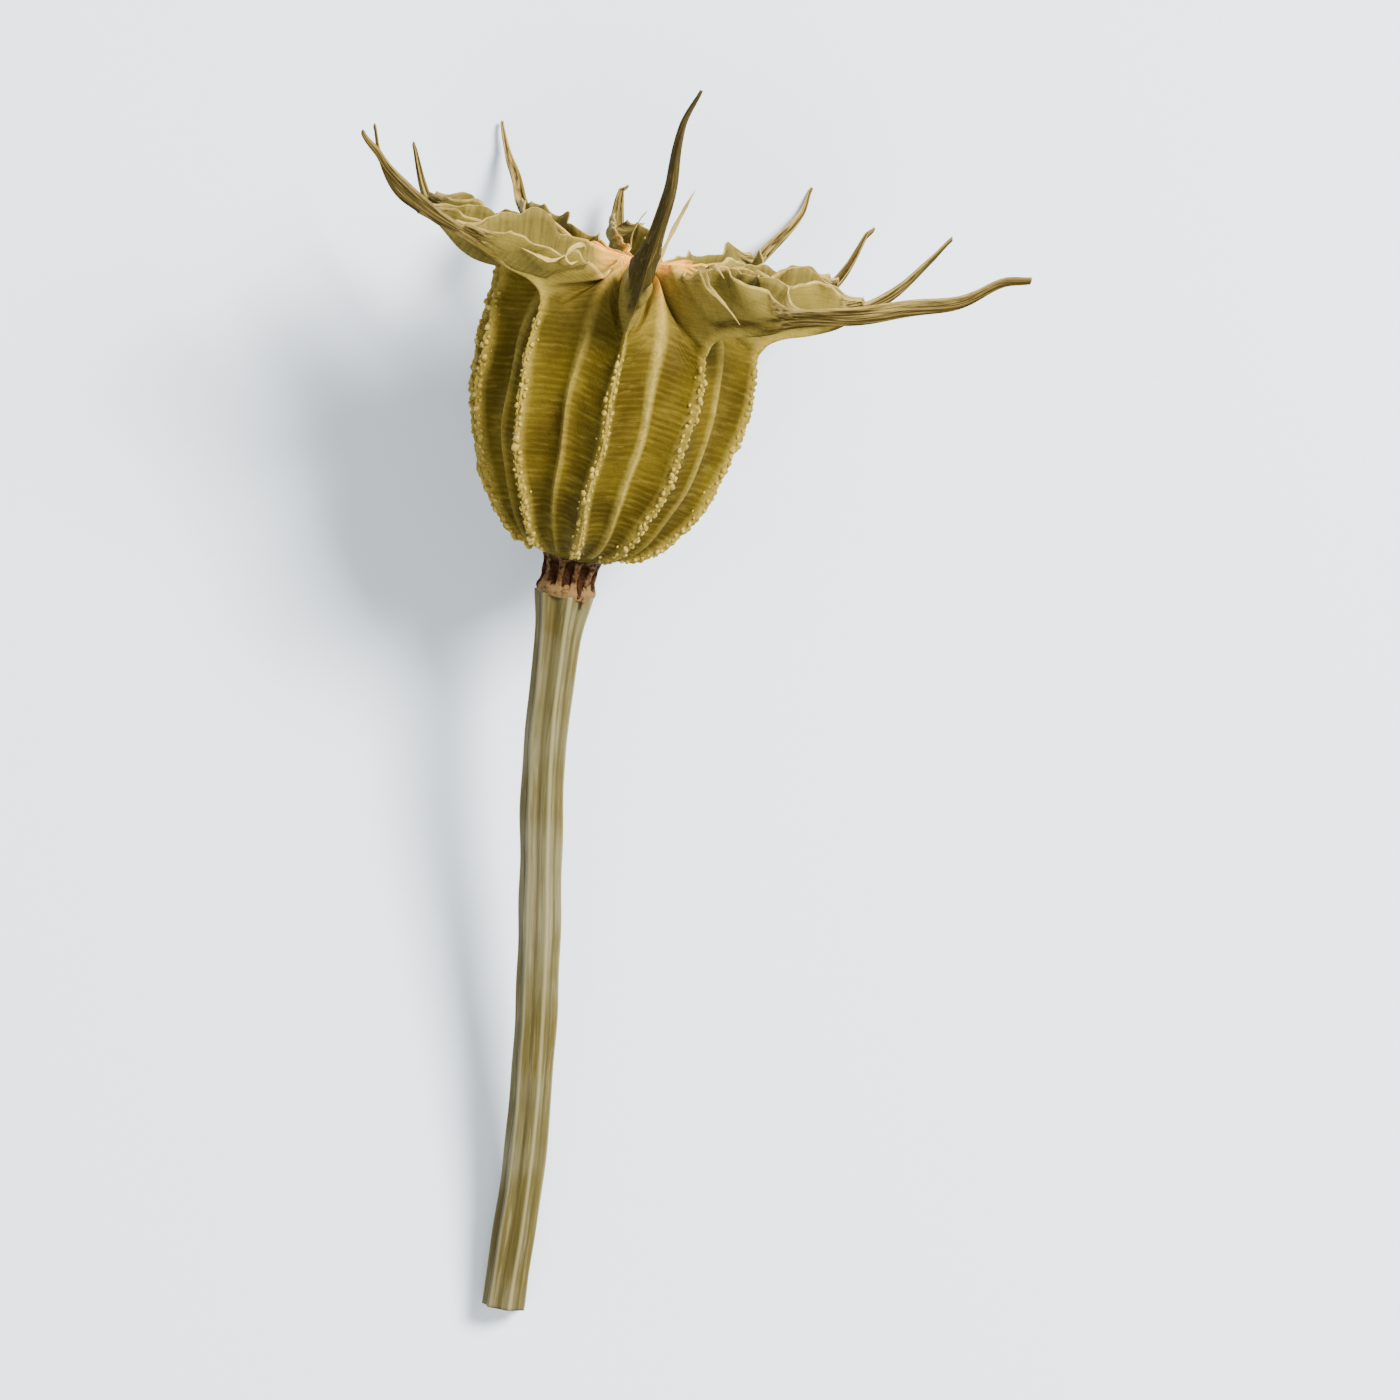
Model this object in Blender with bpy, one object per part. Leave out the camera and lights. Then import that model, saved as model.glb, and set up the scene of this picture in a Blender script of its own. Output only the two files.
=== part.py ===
"""A nigella seed pod on its cut stem, lying on a flat surface.

The capsule is a ring of fused follicles. Each has a keel down its back, a seam shared with
its neighbour, and above the seam a free wing: a folded trough with two lips that run from
the hub outwards and end in a long beak. The brown receptacle joins the capsule to a fluted
stem. The pod rests on the feet of two beaks and on the cut end of the stem.

Points are first worked out in the pod's own frame, in millimetres: the base of the capsule
is at the origin, +Z runs up its axis and -Y faces up when the pod lies down. A follicle's
azimuth is measured from -Y towards +X.
"""

import math
from dataclasses import dataclass

import bmesh
import bpy
import numpy as np
from mathutils import Matrix

MM = 0.001

# How the pod lies: its axis rises towards the head and leans to the right
TILT = math.radians(13.0)
LEAN = math.radians(12.7)
BASE_PLACE = (-0.00754, 0.00877, 0.0113)
CUTTER_SIZE = 0.15

# Lines of one follicle in its own plane: distance from the axis and height
KEEL_BODY = ((2.2, 0.0), (4.7, 1.3), (6.7, 4.0), (8.0, 7.6), (8.45, 10.8), (8.35, 13.0), (8.25, 14.3))
SEAM_BODY = ((2.05, 0.0), (4.35, 1.4), (6.25, 4.3), (7.3, 8.1), (7.4, 11.6), (6.35, 14.7), (3.9, 17.3),
             (0.9, 18.2))
KEEL_WING = ((8.25, 14.3), (8.6, 15.15), (9.5, 15.8), (10.9, 16.25), (12.4, 16.75), (13.8, 17.4),
             (17.6, 18.85), (21.0, 20.75), (25.0, 23.4))
LIP_WING = ((0.9, 18.2), (3.6, 18.5), (6.4, 19.0), (9.4, 19.7), (11.7, 19.3), (13.6, 18.55),
            (17.6, 19.8), (21.0, 21.6), (25.0, 24.15))
LIP_SPREAD = (0.28, 0.8, 1.15, 1.3, 1.05, 0.6, 0.48, 0.44, 0.42)
TROUGH_DEPTH = (0.15, 0.7, 1.3, 1.5, 1.1, 0.3, 0.12, 0.1, 0.05)
HUB_HEIGHT = 17.9
LIP_WALL = 0.6
FLOOR_WALL = 0.75

PANEL_DIP = 0.32
WALL_BULGE = 0.3
WAVE_HEIGHT = 0.22
WAVE_SPREAD = 0.2

BODY_ROWS = 14
WING_ROWS = 20
PANEL_STEPS = 3

BEAK_START = (13.8, 17.4)
FULL_REACH = 25.0
BEND_FROM = 7.8
BEND_TO = 13.5
BEND_HEIGHT = 17.0

RECEPTACLE_ROUTE = ((0.0, -0.3), (0.0, -0.7), (0.0, -1.2), (0.0, -1.7), (0.0, -2.1))
RECEPTACLE_RADII = (1.8, 1.62, 1.55, 1.66, 1.72)
RECEPTACLE_RIBS = 10
STEM_ROUTE = ((0.0, -2.4), (0.25, -5.5), (1.0, -12.6), (3.4, -25.6), (4.9, -36.0), (5.6, -45.5))
STEM_RADII = (1.62, 1.3, 1.22, 1.2, 1.2, 1.24)
STEM_FLUTES = 7
STEM_STEPS = 16


@dataclass(frozen=True)
class Follicle:
    """How one follicle differs: angles in degrees, lengths in millimetres.

    Sweep turns the beak sideways and lift bends it up. Fall lowers one lip, the right one
    where it is above zero and the left one where it is below. Rise is the share of the lips'
    height above the hub, and shoulder raises the bend where the keel leaves the fused part.
    """

    azimuth: float
    sweep: float
    lift: float
    reach: float
    fall: float = 0.0
    rise: float = 1.0
    shoulder: float = 0.0


FOLLICLES = (
    Follicle(azimuth=3, sweep=4, lift=60, reach=21.5, rise=0.5),
    Follicle(azimuth=38, sweep=27, lift=-1, reach=25.5, fall=-0.2),
    Follicle(azimuth=76, sweep=14, lift=8, reach=18.5, fall=-0.3, rise=0.9),
    Follicle(azimuth=112, sweep=12, lift=8, reach=16.5, rise=0.6),
    Follicle(azimuth=149, sweep=3, lift=0, reach=19.9, rise=0.3, shoulder=0.3),
    Follicle(azimuth=185, sweep=4, lift=4, reach=14.5, rise=0.4, shoulder=0.6),
    Follicle(azimuth=221, sweep=-10, lift=0, reach=20.3, rise=0.4, shoulder=0.9),
    Follicle(azimuth=258, sweep=-6, lift=6, reach=16.0, rise=0.5, shoulder=1.3),
    Follicle(azimuth=298, sweep=-14, lift=6, reach=17.8, fall=0.4, rise=0.8, shoulder=1.7),
    Follicle(azimuth=327, sweep=-28, lift=6, reach=20.0, fall=1.1, rise=1.35, shoulder=0.9),
)


def smooth_line(points, steps):
    """Values along a Catmull-Rom curve through the points, at an even number of steps."""
    points = np.asarray(points, dtype=float)
    padded = np.vstack([2 * points[0] - points[1], points, 2 * points[-1] - points[-2]])
    place = np.linspace(0, len(points) - 1, steps + 1)
    span = np.minimum(place.astype(int), len(points) - 2)
    t = (place - span)[:, None]
    before, start, end, after = (padded[span + k] for k in range(4))
    return 0.5 * (2 * start + (end - before) * t
                  + (2 * before - 5 * start + 4 * end - after) * t ** 2
                  + (3 * start - before - 3 * end + after) * t ** 3)


def smooth_step(value, low, high):
    """A rise from 0 at low to 1 at high with level ends."""
    t = np.clip((value - low) / (high - low), 0, 1)
    return t * t * (3 - 2 * t)


def bent(follicle, reach, height):
    """Bend a point of the follicle's plane upwards beyond its shoulder, by the lift."""
    table = np.linspace(0, 40, 401)
    angle = math.radians(follicle.lift) * smooth_step(table, BEND_FROM, BEND_TO)
    step = table[1] - table[0]
    along = np.concatenate([[0], np.cumsum(np.cos(angle[:-1])) * step])
    rise = np.concatenate([[0], np.cumsum(np.sin(angle[:-1])) * step])
    turn = np.interp(reach, table, angle)
    above = height - BEND_HEIGHT
    return (np.interp(reach, table, along) - above * np.sin(turn),
            BEND_HEIGHT + np.interp(reach, table, rise) + above * np.cos(turn))


def in_pod(follicle, reach, height, across):
    """Pod coordinates of a point of a follicle's plane, moved sideways by across."""
    swept = math.radians(follicle.sweep) * smooth_step(reach, 6.0, follicle.reach)
    angle = math.radians(follicle.azimuth) + swept
    out, up = bent(follicle, reach, height)
    return np.stack([out * np.sin(angle) + across * np.cos(angle),
                     -out * np.cos(angle) + across * np.sin(angle), up], axis=-1)


def fitted(follicle, line):
    """The wing line with its beak lengthened or shortened to the follicle's reach."""
    start_out, start_up = BEAK_START
    scale = (follicle.reach - start_out) / (FULL_REACH - start_out)
    out, up = line.T
    beyond = out > start_out
    return (np.where(beyond, start_out + (out - start_out) * scale, out),
            np.where(beyond, start_up + (up - start_up) * (0.5 + 0.5 * scale), up))


def seam_azimuths():
    """The azimuth of the seam after each follicle, halfway to the next one."""
    own = np.array([follicle.azimuth for follicle in FOLLICLES], dtype=float)
    gap = (np.roll(own, -1) - own) % 360
    return np.radians(own + gap / 2)


def wall(keel, edge, bulge, out_of_panel):
    """Points from keel to edge on straight lines, pushed out of the panel by the bulge."""
    share = (np.arange(PANEL_STEPS + 1) / PANEL_STEPS)[None, :, None]
    line = keel[:, None] * (1 - share) + edge[:, None] * share
    return line + 4 * share * (1 - share) * bulge[:, None, None] * out_of_panel[:, None]


def follicle_surface(index):
    """Rows of the body half panels, of the wing walls and of the trough, in pod coordinates."""
    follicle = FOLLICLES[index]
    seams = seam_azimuths()
    keel_out, keel_up = smooth_line(KEEL_BODY, BODY_ROWS).T
    seam_out, seam_up = smooth_line(SEAM_BODY, BODY_ROWS).T
    body_share = np.arange(BODY_ROWS + 1) / BODY_ROWS
    keel_up = keel_up + follicle.shoulder * smooth_step(body_share, 0.4, 1.0)
    body_keel = in_pod(follicle, keel_out, keel_up, 0 * keel_out)
    turned = smooth_step(body_share, 0.7, 1.0)
    body_bulge = (1 - turned) * -PANEL_DIP * smooth_step(body_share, 0, 0.15) + turned * WALL_BULGE

    wing_out, wing_up = fitted(follicle, smooth_line(KEEL_WING, WING_ROWS))
    wing_up = wing_up + follicle.shoulder * (1 - smooth_step(wing_out, 10.0, follicle.reach - 1))
    lip_out, lip_up = fitted(follicle, smooth_line(LIP_WING, WING_ROWS))
    lip_up = lip_up - ((1 - follicle.rise) * np.maximum(lip_up - HUB_HEIGHT, 0)
                       * (1 - smooth_step(lip_out, 10.0, 13.6)))
    lip_up = lip_up + (follicle.shoulder * smooth_step(lip_out, 11.0, 14.5)
                       * (1 - smooth_step(lip_out, 10.0, follicle.reach - 1)))
    spread, depth = smooth_line(np.column_stack([LIP_SPREAD, TROUGH_DEPTH]), WING_ROWS).T
    waved = smooth_step(lip_out, 2.0, 5.0) * (1 - smooth_step(lip_out, 11.0, 13.5))
    wing_keel = in_pod(follicle, wing_out, wing_up, 0 * wing_out)
    wing_bulge = WALL_BULGE * (1 - smooth_step(wing_out, 9.0, 13.0)) + 0.08

    sides = []
    for side, seam in ((-1, seams[index - 1]), (1, seams[index])):
        middle = 0.5 * (math.radians(follicle.azimuth % 360) + seam % (2 * math.pi))
        if abs(math.radians(follicle.azimuth % 360) - seam % (2 * math.pi)) > math.pi:
            middle += math.pi
        radial = np.array([math.sin(middle), -math.cos(middle), 0.0])
        own = math.radians(follicle.azimuth)
        sideways = side * np.array([math.cos(own), math.sin(own), 0.0])
        seam_points = np.stack([seam_out * math.sin(seam), -seam_out * math.cos(seam), seam_up], axis=-1)
        facing = radial[None] * (1 - turned[:, None]) + sideways[None] * turned[:, None]
        body = wall(body_keel, seam_points, body_bulge, facing)

        phase = 2.4 * index + 1.3 * side
        wave_up = WAVE_HEIGHT * waved * np.sin(2 * math.pi * lip_out / 4.3 + phase)
        wave_side = WAVE_SPREAD * waved * np.sin(2 * math.pi * lip_out / 3.7 + 1.7 * phase)
        fallen = max(side * follicle.fall, 0) * waved * smooth_step(lip_out, 4.5, 8.5)
        lip_side = spread + wave_side + 0.35 * fallen
        edge_up = lip_up + wave_up - fallen
        lip = in_pod(follicle, lip_out, edge_up, side * lip_side)
        lip[0] = seam_points[-1]
        inner_side = np.maximum(lip_side - LIP_WALL, 0.35 * spread)
        inner = in_pod(follicle, lip_out, edge_up, side * inner_side)
        wing = wall(wing_keel, lip, wing_bulge, np.repeat(sideways[None], WING_ROWS + 1, axis=0))
        sides.append((body, wing, inner))
    floor_up = lip_up - depth - 0.4 * abs(follicle.fall) * waved
    floor_up = np.maximum(floor_up, np.interp(lip_out, wing_out, wing_up) + FLOOR_WALL)
    floor_up = np.minimum(floor_up, lip_up - 0.03)
    floor = in_pod(follicle, lip_out, floor_up, 0 * lip_out)
    return sides, floor


def placement():
    """The matrix from pod coordinates to where the pod lies."""
    lying = Matrix(((1, 0, 0, 0), (0, 0, 1, 0), (0, -1, 0, 0), (0, 0, 0, 1)))
    return (Matrix.Translation(BASE_PLACE) @ Matrix.Rotation(-LEAN, 4, "Z") @ Matrix.Rotation(TILT, 4, "X")
            @ lying @ Matrix.Scale(MM, 4))


def placed(points):
    """Points of the pod's own frame where they lie."""
    matrix = np.array(placement())
    return np.asarray(points) @ matrix[:3, :3].T + matrix[:3, 3]


def surface_cutter(collection):
    """A block whose top is the surface that the pod lies on."""
    bpy.ops.mesh.primitive_cube_add(size=1, location=(0, 0, -0.5 * CUTTER_SIZE))
    cutter = bpy.context.object
    cutter.name = "surface_cutter"
    cutter.scale = (CUTTER_SIZE, CUTTER_SIZE, CUTTER_SIZE)
    cutter.hide_render = True
    cutter.display_type = "WIRE"
    for other in list(cutter.users_collection):
        other.objects.unlink(cutter)
    collection.objects.link(cutter)
    return cutter


def make_flat_below(part, cutter):
    """Cut off what would sink into the surface, which leaves small flat feet."""
    flat = part.modifiers.new("flat_feet", "BOOLEAN")
    flat.operation = "DIFFERENCE"
    flat.solver = "EXACT"
    flat.object = cutter


def finished(name, mesh, colour, roughness, collection):
    """Link the mesh as the named object with its own material and smooth shading."""
    material = bpy.data.materials.new(name)
    material.use_nodes = True
    shader = material.node_tree.nodes["Principled BSDF"]
    shader.inputs["Base Color"].default_value = (*colour, 1.0)
    shader.inputs["Roughness"].default_value = roughness
    shader.inputs["Metallic"].default_value = 0.0
    mesh.materials.append(material)
    mesh.shade_smooth()
    mesh.set_sharp_from_angle(angle=math.radians(40))
    part = bpy.data.objects.new(name, mesh)
    collection.objects.link(part)
    return part


def make_capsule(collection):
    """The fused follicles with their wings and beaks, as one closed surface."""
    points, faces = [], []

    def add(rows):
        """Append points and return their numbers."""
        first = len(points)
        points.extend(np.reshape(rows, (-1, 3)))
        return first + np.arange(len(points) - first).reshape(np.shape(rows)[:-1])

    def strip(left, right):
        """Quads between two rows of point numbers, each split the same way."""
        for low_a, low_b, high_b, high_a in zip(left[:-1], right[:-1], right[1:], left[1:]):
            corners = list(dict.fromkeys((low_a, low_b, high_b, high_a)))
            if len(corners) == 4:
                faces.append((low_a, low_b, high_b))
                faces.append((low_a, high_b, high_a))
            elif len(corners) == 3:
                faces.append(tuple(corners))

    surfaces = [follicle_surface(index) for index in range(len(FOLLICLES))]
    keels = [add(sides[1][0][:, 0]) for sides, _ in surfaces]
    seams = [add(sides[1][0][:, -1]) for sides, _ in surfaces]
    base_ring, hub_ring = [], []
    for index, (sides, floor) in enumerate(surfaces):
        columns = []
        for side, (body, wing, inner) in enumerate(sides):
            inside = add(body[:, 1:-1])
            seam = seams[index - 1 + side]
            half = [keels[index]] + list(inside.T) + [seam]
            wing_inside = add(wing[1:, 1:])
            wing_keel = wing[1:, 0] if side == 0 else None
            columns.append((half, wing_inside, wing_keel, add(inner)))
        wing_keel = add(columns[0][2])
        trough = add(floor)
        left_half, left_wing, _, left_inner = columns[0]
        right_half, right_wing, _, right_inner = columns[1]
        around = left_half[::-1] + right_half[1:]
        for left, right in zip(around[:-1], around[1:]):
            strip(left, right)
        wing_around = list(left_wing.T[::-1]) + [wing_keel] + list(right_wing.T)
        full = [np.concatenate([[low[-1]], high]) for low, high in zip(around, wing_around)]
        loop = full + [right_inner, trough, left_inner, full[0]]
        for left, right in zip(loop[:-1], loop[1:]):
            strip(left, right)
        faces.append(tuple(column[-1] for column in loop[:-1]))
        base_ring += [column[0] for column in around[:-1]]
        hub_ring += [full[0][0], left_inner[0], trough[0], right_inner[0]]
    base_centre = add(np.array([[0.0, 0.0, 0.0]]))[0]
    hub_centre = add(np.array([[0.0, 0.0, HUB_HEIGHT]]))[0]
    for low, high in zip(base_ring, base_ring[1:] + base_ring[:1]):
        faces.append((base_centre, high, low))
    for low, high in zip(hub_ring, hub_ring[1:] + hub_ring[:1]):
        faces.append((hub_centre, low, high))

    mesh = bpy.data.meshes.new("capsule")
    mesh.from_pydata(placed(np.array(points)), [], [[int(corner) for corner in face] for face in faces])
    mesh.validate()
    return finished("capsule", mesh, (0.31, 0.23, 0.05), 0.6, collection)


def fluted_section(name, flutes, depth, steps, collection):
    """A closed guide curve: a circle of radius 1 with rounded flutes around it."""
    curve = bpy.data.curves.new(name, "CURVE")
    spline = curve.splines.new("POLY")
    spline.points.add(steps - 1)
    spline.use_cyclic_u = True
    for number, point in enumerate(spline.points):
        angle = 2 * math.pi * number / steps
        radius = (1 + depth * math.cos(flutes * angle)) * MM
        point.co = (radius * math.cos(angle), radius * math.sin(angle), 0.0, 1.0)
    guide = bpy.data.objects.new(name, curve)
    guide.hide_render = True
    guide.display_type = "WIRE"
    collection.objects.link(guide)
    return guide


def make_swept(name, route, radii, steps, section, colour, roughness, collection):
    """A solid rod along the route, its section scaled to each radius in millimetres."""
    line = smooth_line(np.column_stack([route, radii]), steps)
    curve = bpy.data.curves.new(name, "CURVE")
    curve.dimensions = "3D"
    curve.bevel_mode = "OBJECT"
    curve.bevel_object = section
    curve.use_fill_caps = True
    spline = curve.splines.new("POLY")
    spline.points.add(steps)
    for point, (across, up, radius) in zip(spline.points, line):
        point.co = (across * MM, 0.0, up * MM, 1.0)
        point.radius = radius
    rod = bpy.data.objects.new(name + "_route", curve)
    collection.objects.link(rod)
    bpy.context.view_layer.update()
    swept = rod.evaluated_get(bpy.context.evaluated_depsgraph_get())
    mesh = bpy.data.meshes.new_from_object(swept)
    bpy.data.objects.remove(rod)
    mesh.materials.clear()
    mesh.name = name
    work = bmesh.new()
    work.from_mesh(mesh)
    bmesh.ops.remove_doubles(work, verts=work.verts, dist=0.01 * MM)
    for vertex, place in zip(work.verts, placed([vertex.co / MM for vertex in work.verts])):
        vertex.co = place
    bmesh.ops.recalc_face_normals(work, faces=work.faces)
    work.to_mesh(mesh)
    work.free()
    return finished(name, mesh, colour, roughness, collection)


def main():
    """Clear the scene and build the capsule, the receptacle and the stem."""
    for old in list(bpy.data.objects):
        bpy.data.objects.remove(old)
    pod = bpy.data.collections.new("nigella_seed_pod")
    guides = bpy.data.collections.new("guides")
    bpy.context.scene.collection.children.link(pod)
    bpy.context.scene.collection.children.link(guides)
    cutter = surface_cutter(guides)
    make_flat_below(make_capsule(pod), cutter)
    ribbed = fluted_section("receptacle_section", RECEPTACLE_RIBS, 0.09, 4 * RECEPTACLE_RIBS, guides)
    make_swept("receptacle", RECEPTACLE_ROUTE, RECEPTACLE_RADII, 6, ribbed, (0.11, 0.045, 0.02), 0.75, pod)
    fluted = fluted_section("stem_section", STEM_FLUTES, 0.07, 4 * STEM_FLUTES, guides)
    stem = make_swept("stem", STEM_ROUTE, STEM_RADII, STEM_STEPS, fluted, (0.24, 0.21, 0.11), 0.65, pod)
    make_flat_below(stem, cutter)


main()
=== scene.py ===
"""Looks of a dried nigella seed pod that lies on a pale table with its stem cut short.

Points are worked out in the pod's own frame, in millimetres: the base of the capsule is at
the origin, +Z runs up its axis and -Y faces the viewer. A follicle's azimuth is measured
from -Y towards +X. A follicle's plane has two axes, the distance from the pod's axis and the
height above its base, and across is the way out of that plane.
"""

import logging
import math
from dataclasses import dataclass, field
from enum import Enum
from typing import Any, Sequence

import bmesh
import bpy
import numpy as np
from mathutils import Matrix, Vector
from mathutils.bvhtree import BVHTree


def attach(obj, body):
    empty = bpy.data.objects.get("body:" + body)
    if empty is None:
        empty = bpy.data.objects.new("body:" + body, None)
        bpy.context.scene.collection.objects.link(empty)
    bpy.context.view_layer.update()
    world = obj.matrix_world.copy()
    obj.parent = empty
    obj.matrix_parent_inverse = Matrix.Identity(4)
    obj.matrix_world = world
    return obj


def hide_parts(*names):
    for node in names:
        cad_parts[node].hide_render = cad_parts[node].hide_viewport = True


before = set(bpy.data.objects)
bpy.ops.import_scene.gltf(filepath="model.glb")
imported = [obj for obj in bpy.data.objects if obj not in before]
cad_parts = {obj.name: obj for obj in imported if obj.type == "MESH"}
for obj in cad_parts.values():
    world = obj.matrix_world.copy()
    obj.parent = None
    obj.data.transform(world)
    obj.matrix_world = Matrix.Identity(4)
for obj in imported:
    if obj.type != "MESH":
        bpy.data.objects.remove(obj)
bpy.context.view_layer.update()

Colour = tuple[float, float, float]
Array = np.ndarray

MM = 0.001
TURN = 2 * math.pi
UP = np.array([0.0, 0.0, 1.0])
BODY = "root"
LOG = logging.getLogger("nigella_pod")


def smooth_line(points: Sequence[Sequence[float]], share: Array) -> Array:
    """Values along a Catmull-Rom curve through the points.

    Args:
        points: Control points, one row each.
        share: How far along the curve each value lies, from 0 to 1, with equal shares
            between neighbouring control points.

    Returns:
        One row of values for each share.
    """
    knots = np.asarray(points, dtype=float)
    padded = np.vstack([2 * knots[0] - knots[1], knots, 2 * knots[-1] - knots[-2]])
    place = np.asarray(share, dtype=float) * (len(knots) - 1)
    span = np.minimum(place.astype(int), len(knots) - 2)
    t = (place - span)[:, None]
    before, start, end, after = (padded[span + k] for k in range(4))
    return 0.5 * (2 * start + (end - before) * t
                  + (2 * before - 5 * start + 4 * end - after) * t ** 2
                  + (3 * start - before - 3 * end + after) * t ** 3)


def smooth_step(value: Array, low: float, high: float) -> Array:
    """A rise from 0 at low to 1 at high with level ends: 3t squared less 2t cubed."""
    t = np.clip((value - low) / (high - low), 0, 1)
    return t * t * (3 - 2 * t)


def bell(distance: Array, width: float) -> Array:
    """A bell curve of height 1: e to the minus square of distance over width."""
    return np.exp(-(distance / width) ** 2)


def ripple(points: Array, length: float, seed: int) -> Array:
    """Smooth noise about 0: the mean of sine waves that cross in random directions.

    Args:
        points: Places in millimetres, with 3 values in the last axis.
        length: The waves' length in millimetres.
        seed: Draws the directions and phases.

    Returns:
        One value for each point, mostly between -1 and 1.
    """
    draw = np.random.default_rng(seed)
    ways = draw.normal(size=(7, 3))
    ways *= TURN / length * draw.uniform(0.7, 1.4, (7, 1)) / np.linalg.norm(ways, axis=1)[:, None]
    phases = draw.uniform(0, TURN, 7)
    return np.sin(points @ ways.T + phases).sum(axis=-1) / 3.0


def unit(vectors: Array) -> Array:
    """The vectors scaled to length 1."""
    return vectors / np.maximum(np.linalg.norm(vectors, axis=-1, keepdims=True), 1e-9)


def outward(angle: float) -> Array:
    """The way out from the pod's axis at an azimuth in radians."""
    return np.array([math.sin(angle), -math.cos(angle), 0.0])


def sideward(angle: float) -> Array:
    """The way across a follicle's plane at an azimuth in radians, towards greater azimuths."""
    return np.array([math.cos(angle), math.sin(angle), 0.0])


def at_shares(first: Array, last: Array, share: Array) -> Array:
    """Straight lines from each first point to each last one, cut at the shares."""
    return first[:, None] * (1 - share)[None, :, None] + last[:, None] * share[None, :, None]


def travelled(line: Array) -> Array:
    """The length of the line up to each of its points."""
    steps = np.linalg.norm(np.diff(line, axis=0), axis=-1)
    return np.concatenate([[0.0], np.cumsum(steps)])


@dataclass(frozen=True)
class Lie:
    """How the pod lies: a head that rises by tilt and leans right by lean, both in degrees."""

    tilt: float = 13.0
    lean: float = 12.7
    base: tuple[float, float, float] = (-0.00754, 0.00877, 0.0113)

    def place(self, points: Array) -> Array:
        """World places, in metres, of points of the pod's own frame, kept above the table."""
        lying = Matrix(((1, 0, 0, 0), (0, 0, 1, 0), (0, -1, 0, 0), (0, 0, 0, 1)))
        leaning = Matrix.Rotation(-math.radians(self.lean), 4, "Z")
        tilted = Matrix.Rotation(math.radians(self.tilt), 4, "X")
        matrix = np.array(Matrix.Translation(self.base) @ leaning @ tilted @ lying @ Matrix.Scale(MM, 4))
        world = np.asarray(points) @ matrix[:3, :3].T + matrix[:3, 3]
        world[..., 2] = np.maximum(world[..., 2], 0.0)
        return world


LIE = Lie()


@dataclass(frozen=True)
class Follicle:
    """How one follicle differs: angles in degrees, lengths in millimetres.

    Sweep turns the beak sideways and lift bends it up. Fall lowers one lip, the right one
    where it is above zero and the left one where it is below. Rise is the share of the lips'
    height above the hub, girth scales their distance from each other, and shoulder raises
    the bend where the keel leaves the fused part. Dusk darkens the beak.
    """

    azimuth: float
    sweep: float
    lift: float
    reach: float
    fall: float = 0.0
    rise: float = 1.0
    girth: float = 1.0
    shoulder: float = 0.0
    dusk: float = 0.25

    @property
    def angle(self) -> float:
        """The azimuth in radians."""
        return math.radians(self.azimuth)

    @property
    def upright(self) -> bool:
        """Whether the beak stands up, so that it is dark from its foot."""
        return self.lift > 40


FOLLICLES: tuple[Follicle, ...] = (
    Follicle(azimuth=3, sweep=4, lift=60, reach=21.5, rise=0.5, girth=0.32, dusk=1.0),
    Follicle(azimuth=38, sweep=27, lift=-1, reach=25.5, fall=-0.2, dusk=0.25),
    Follicle(azimuth=76, sweep=14, lift=8, reach=18.5, fall=-0.3, rise=0.9, dusk=0.1),
    Follicle(azimuth=112, sweep=12, lift=8, reach=16.5, rise=0.6, dusk=0.15),
    Follicle(azimuth=149, sweep=3, lift=0, reach=19.0, rise=0.3, shoulder=0.3),
    Follicle(azimuth=185, sweep=4, lift=4, reach=14.5, rise=0.4, shoulder=0.6, dusk=0.5),
    Follicle(azimuth=221, sweep=-10, lift=0, reach=19.5, rise=0.4, shoulder=0.9),
    Follicle(azimuth=258, sweep=-6, lift=6, reach=16.0, rise=0.5, shoulder=1.3, dusk=0.4),
    Follicle(azimuth=298, sweep=-14, lift=6, reach=17.8, fall=0.4, rise=0.8, shoulder=1.7, dusk=0.35),
    Follicle(azimuth=327, sweep=-28, lift=6, reach=20.0, fall=1.5, rise=1.35, shoulder=0.9, dusk=0.3),
)


PAINTED = ("zones", "marks", "tones")


@dataclass
class Patch:
    """A grid of surface points with what its finish needs to know about each point.

    Zones are how much a point belongs to the rim of a lip, to the beak and to the hub. Marks
    are how near it is to a keel, to a seam and to the inside of the trough. Tones are painted
    shade deep in the valleys between keel and seam, the beak's own dark colour together with
    painted shade under the wings and in the grooves beside their keels, and how bruised it is.
    The chart is across and along the surface, in millimetres. A flipped patch turns its faces
    round.
    """

    points: Array
    zones: Array
    marks: Array
    tones: Array
    chart: Array
    flipped: bool = False

    def extend(self, before: Array, after: Array) -> None:
        """Add rows of points at both ends, which take their finish from the nearest row."""
        counts = np.ones(len(self.points), dtype=int)
        counts[0] += len(before)
        counts[-1] += len(after)
        self.points = np.concatenate([before, self.points, after])
        for name in (*PAINTED, "chart"):
            setattr(self, name, np.repeat(getattr(self, name), counts, axis=0))


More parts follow.
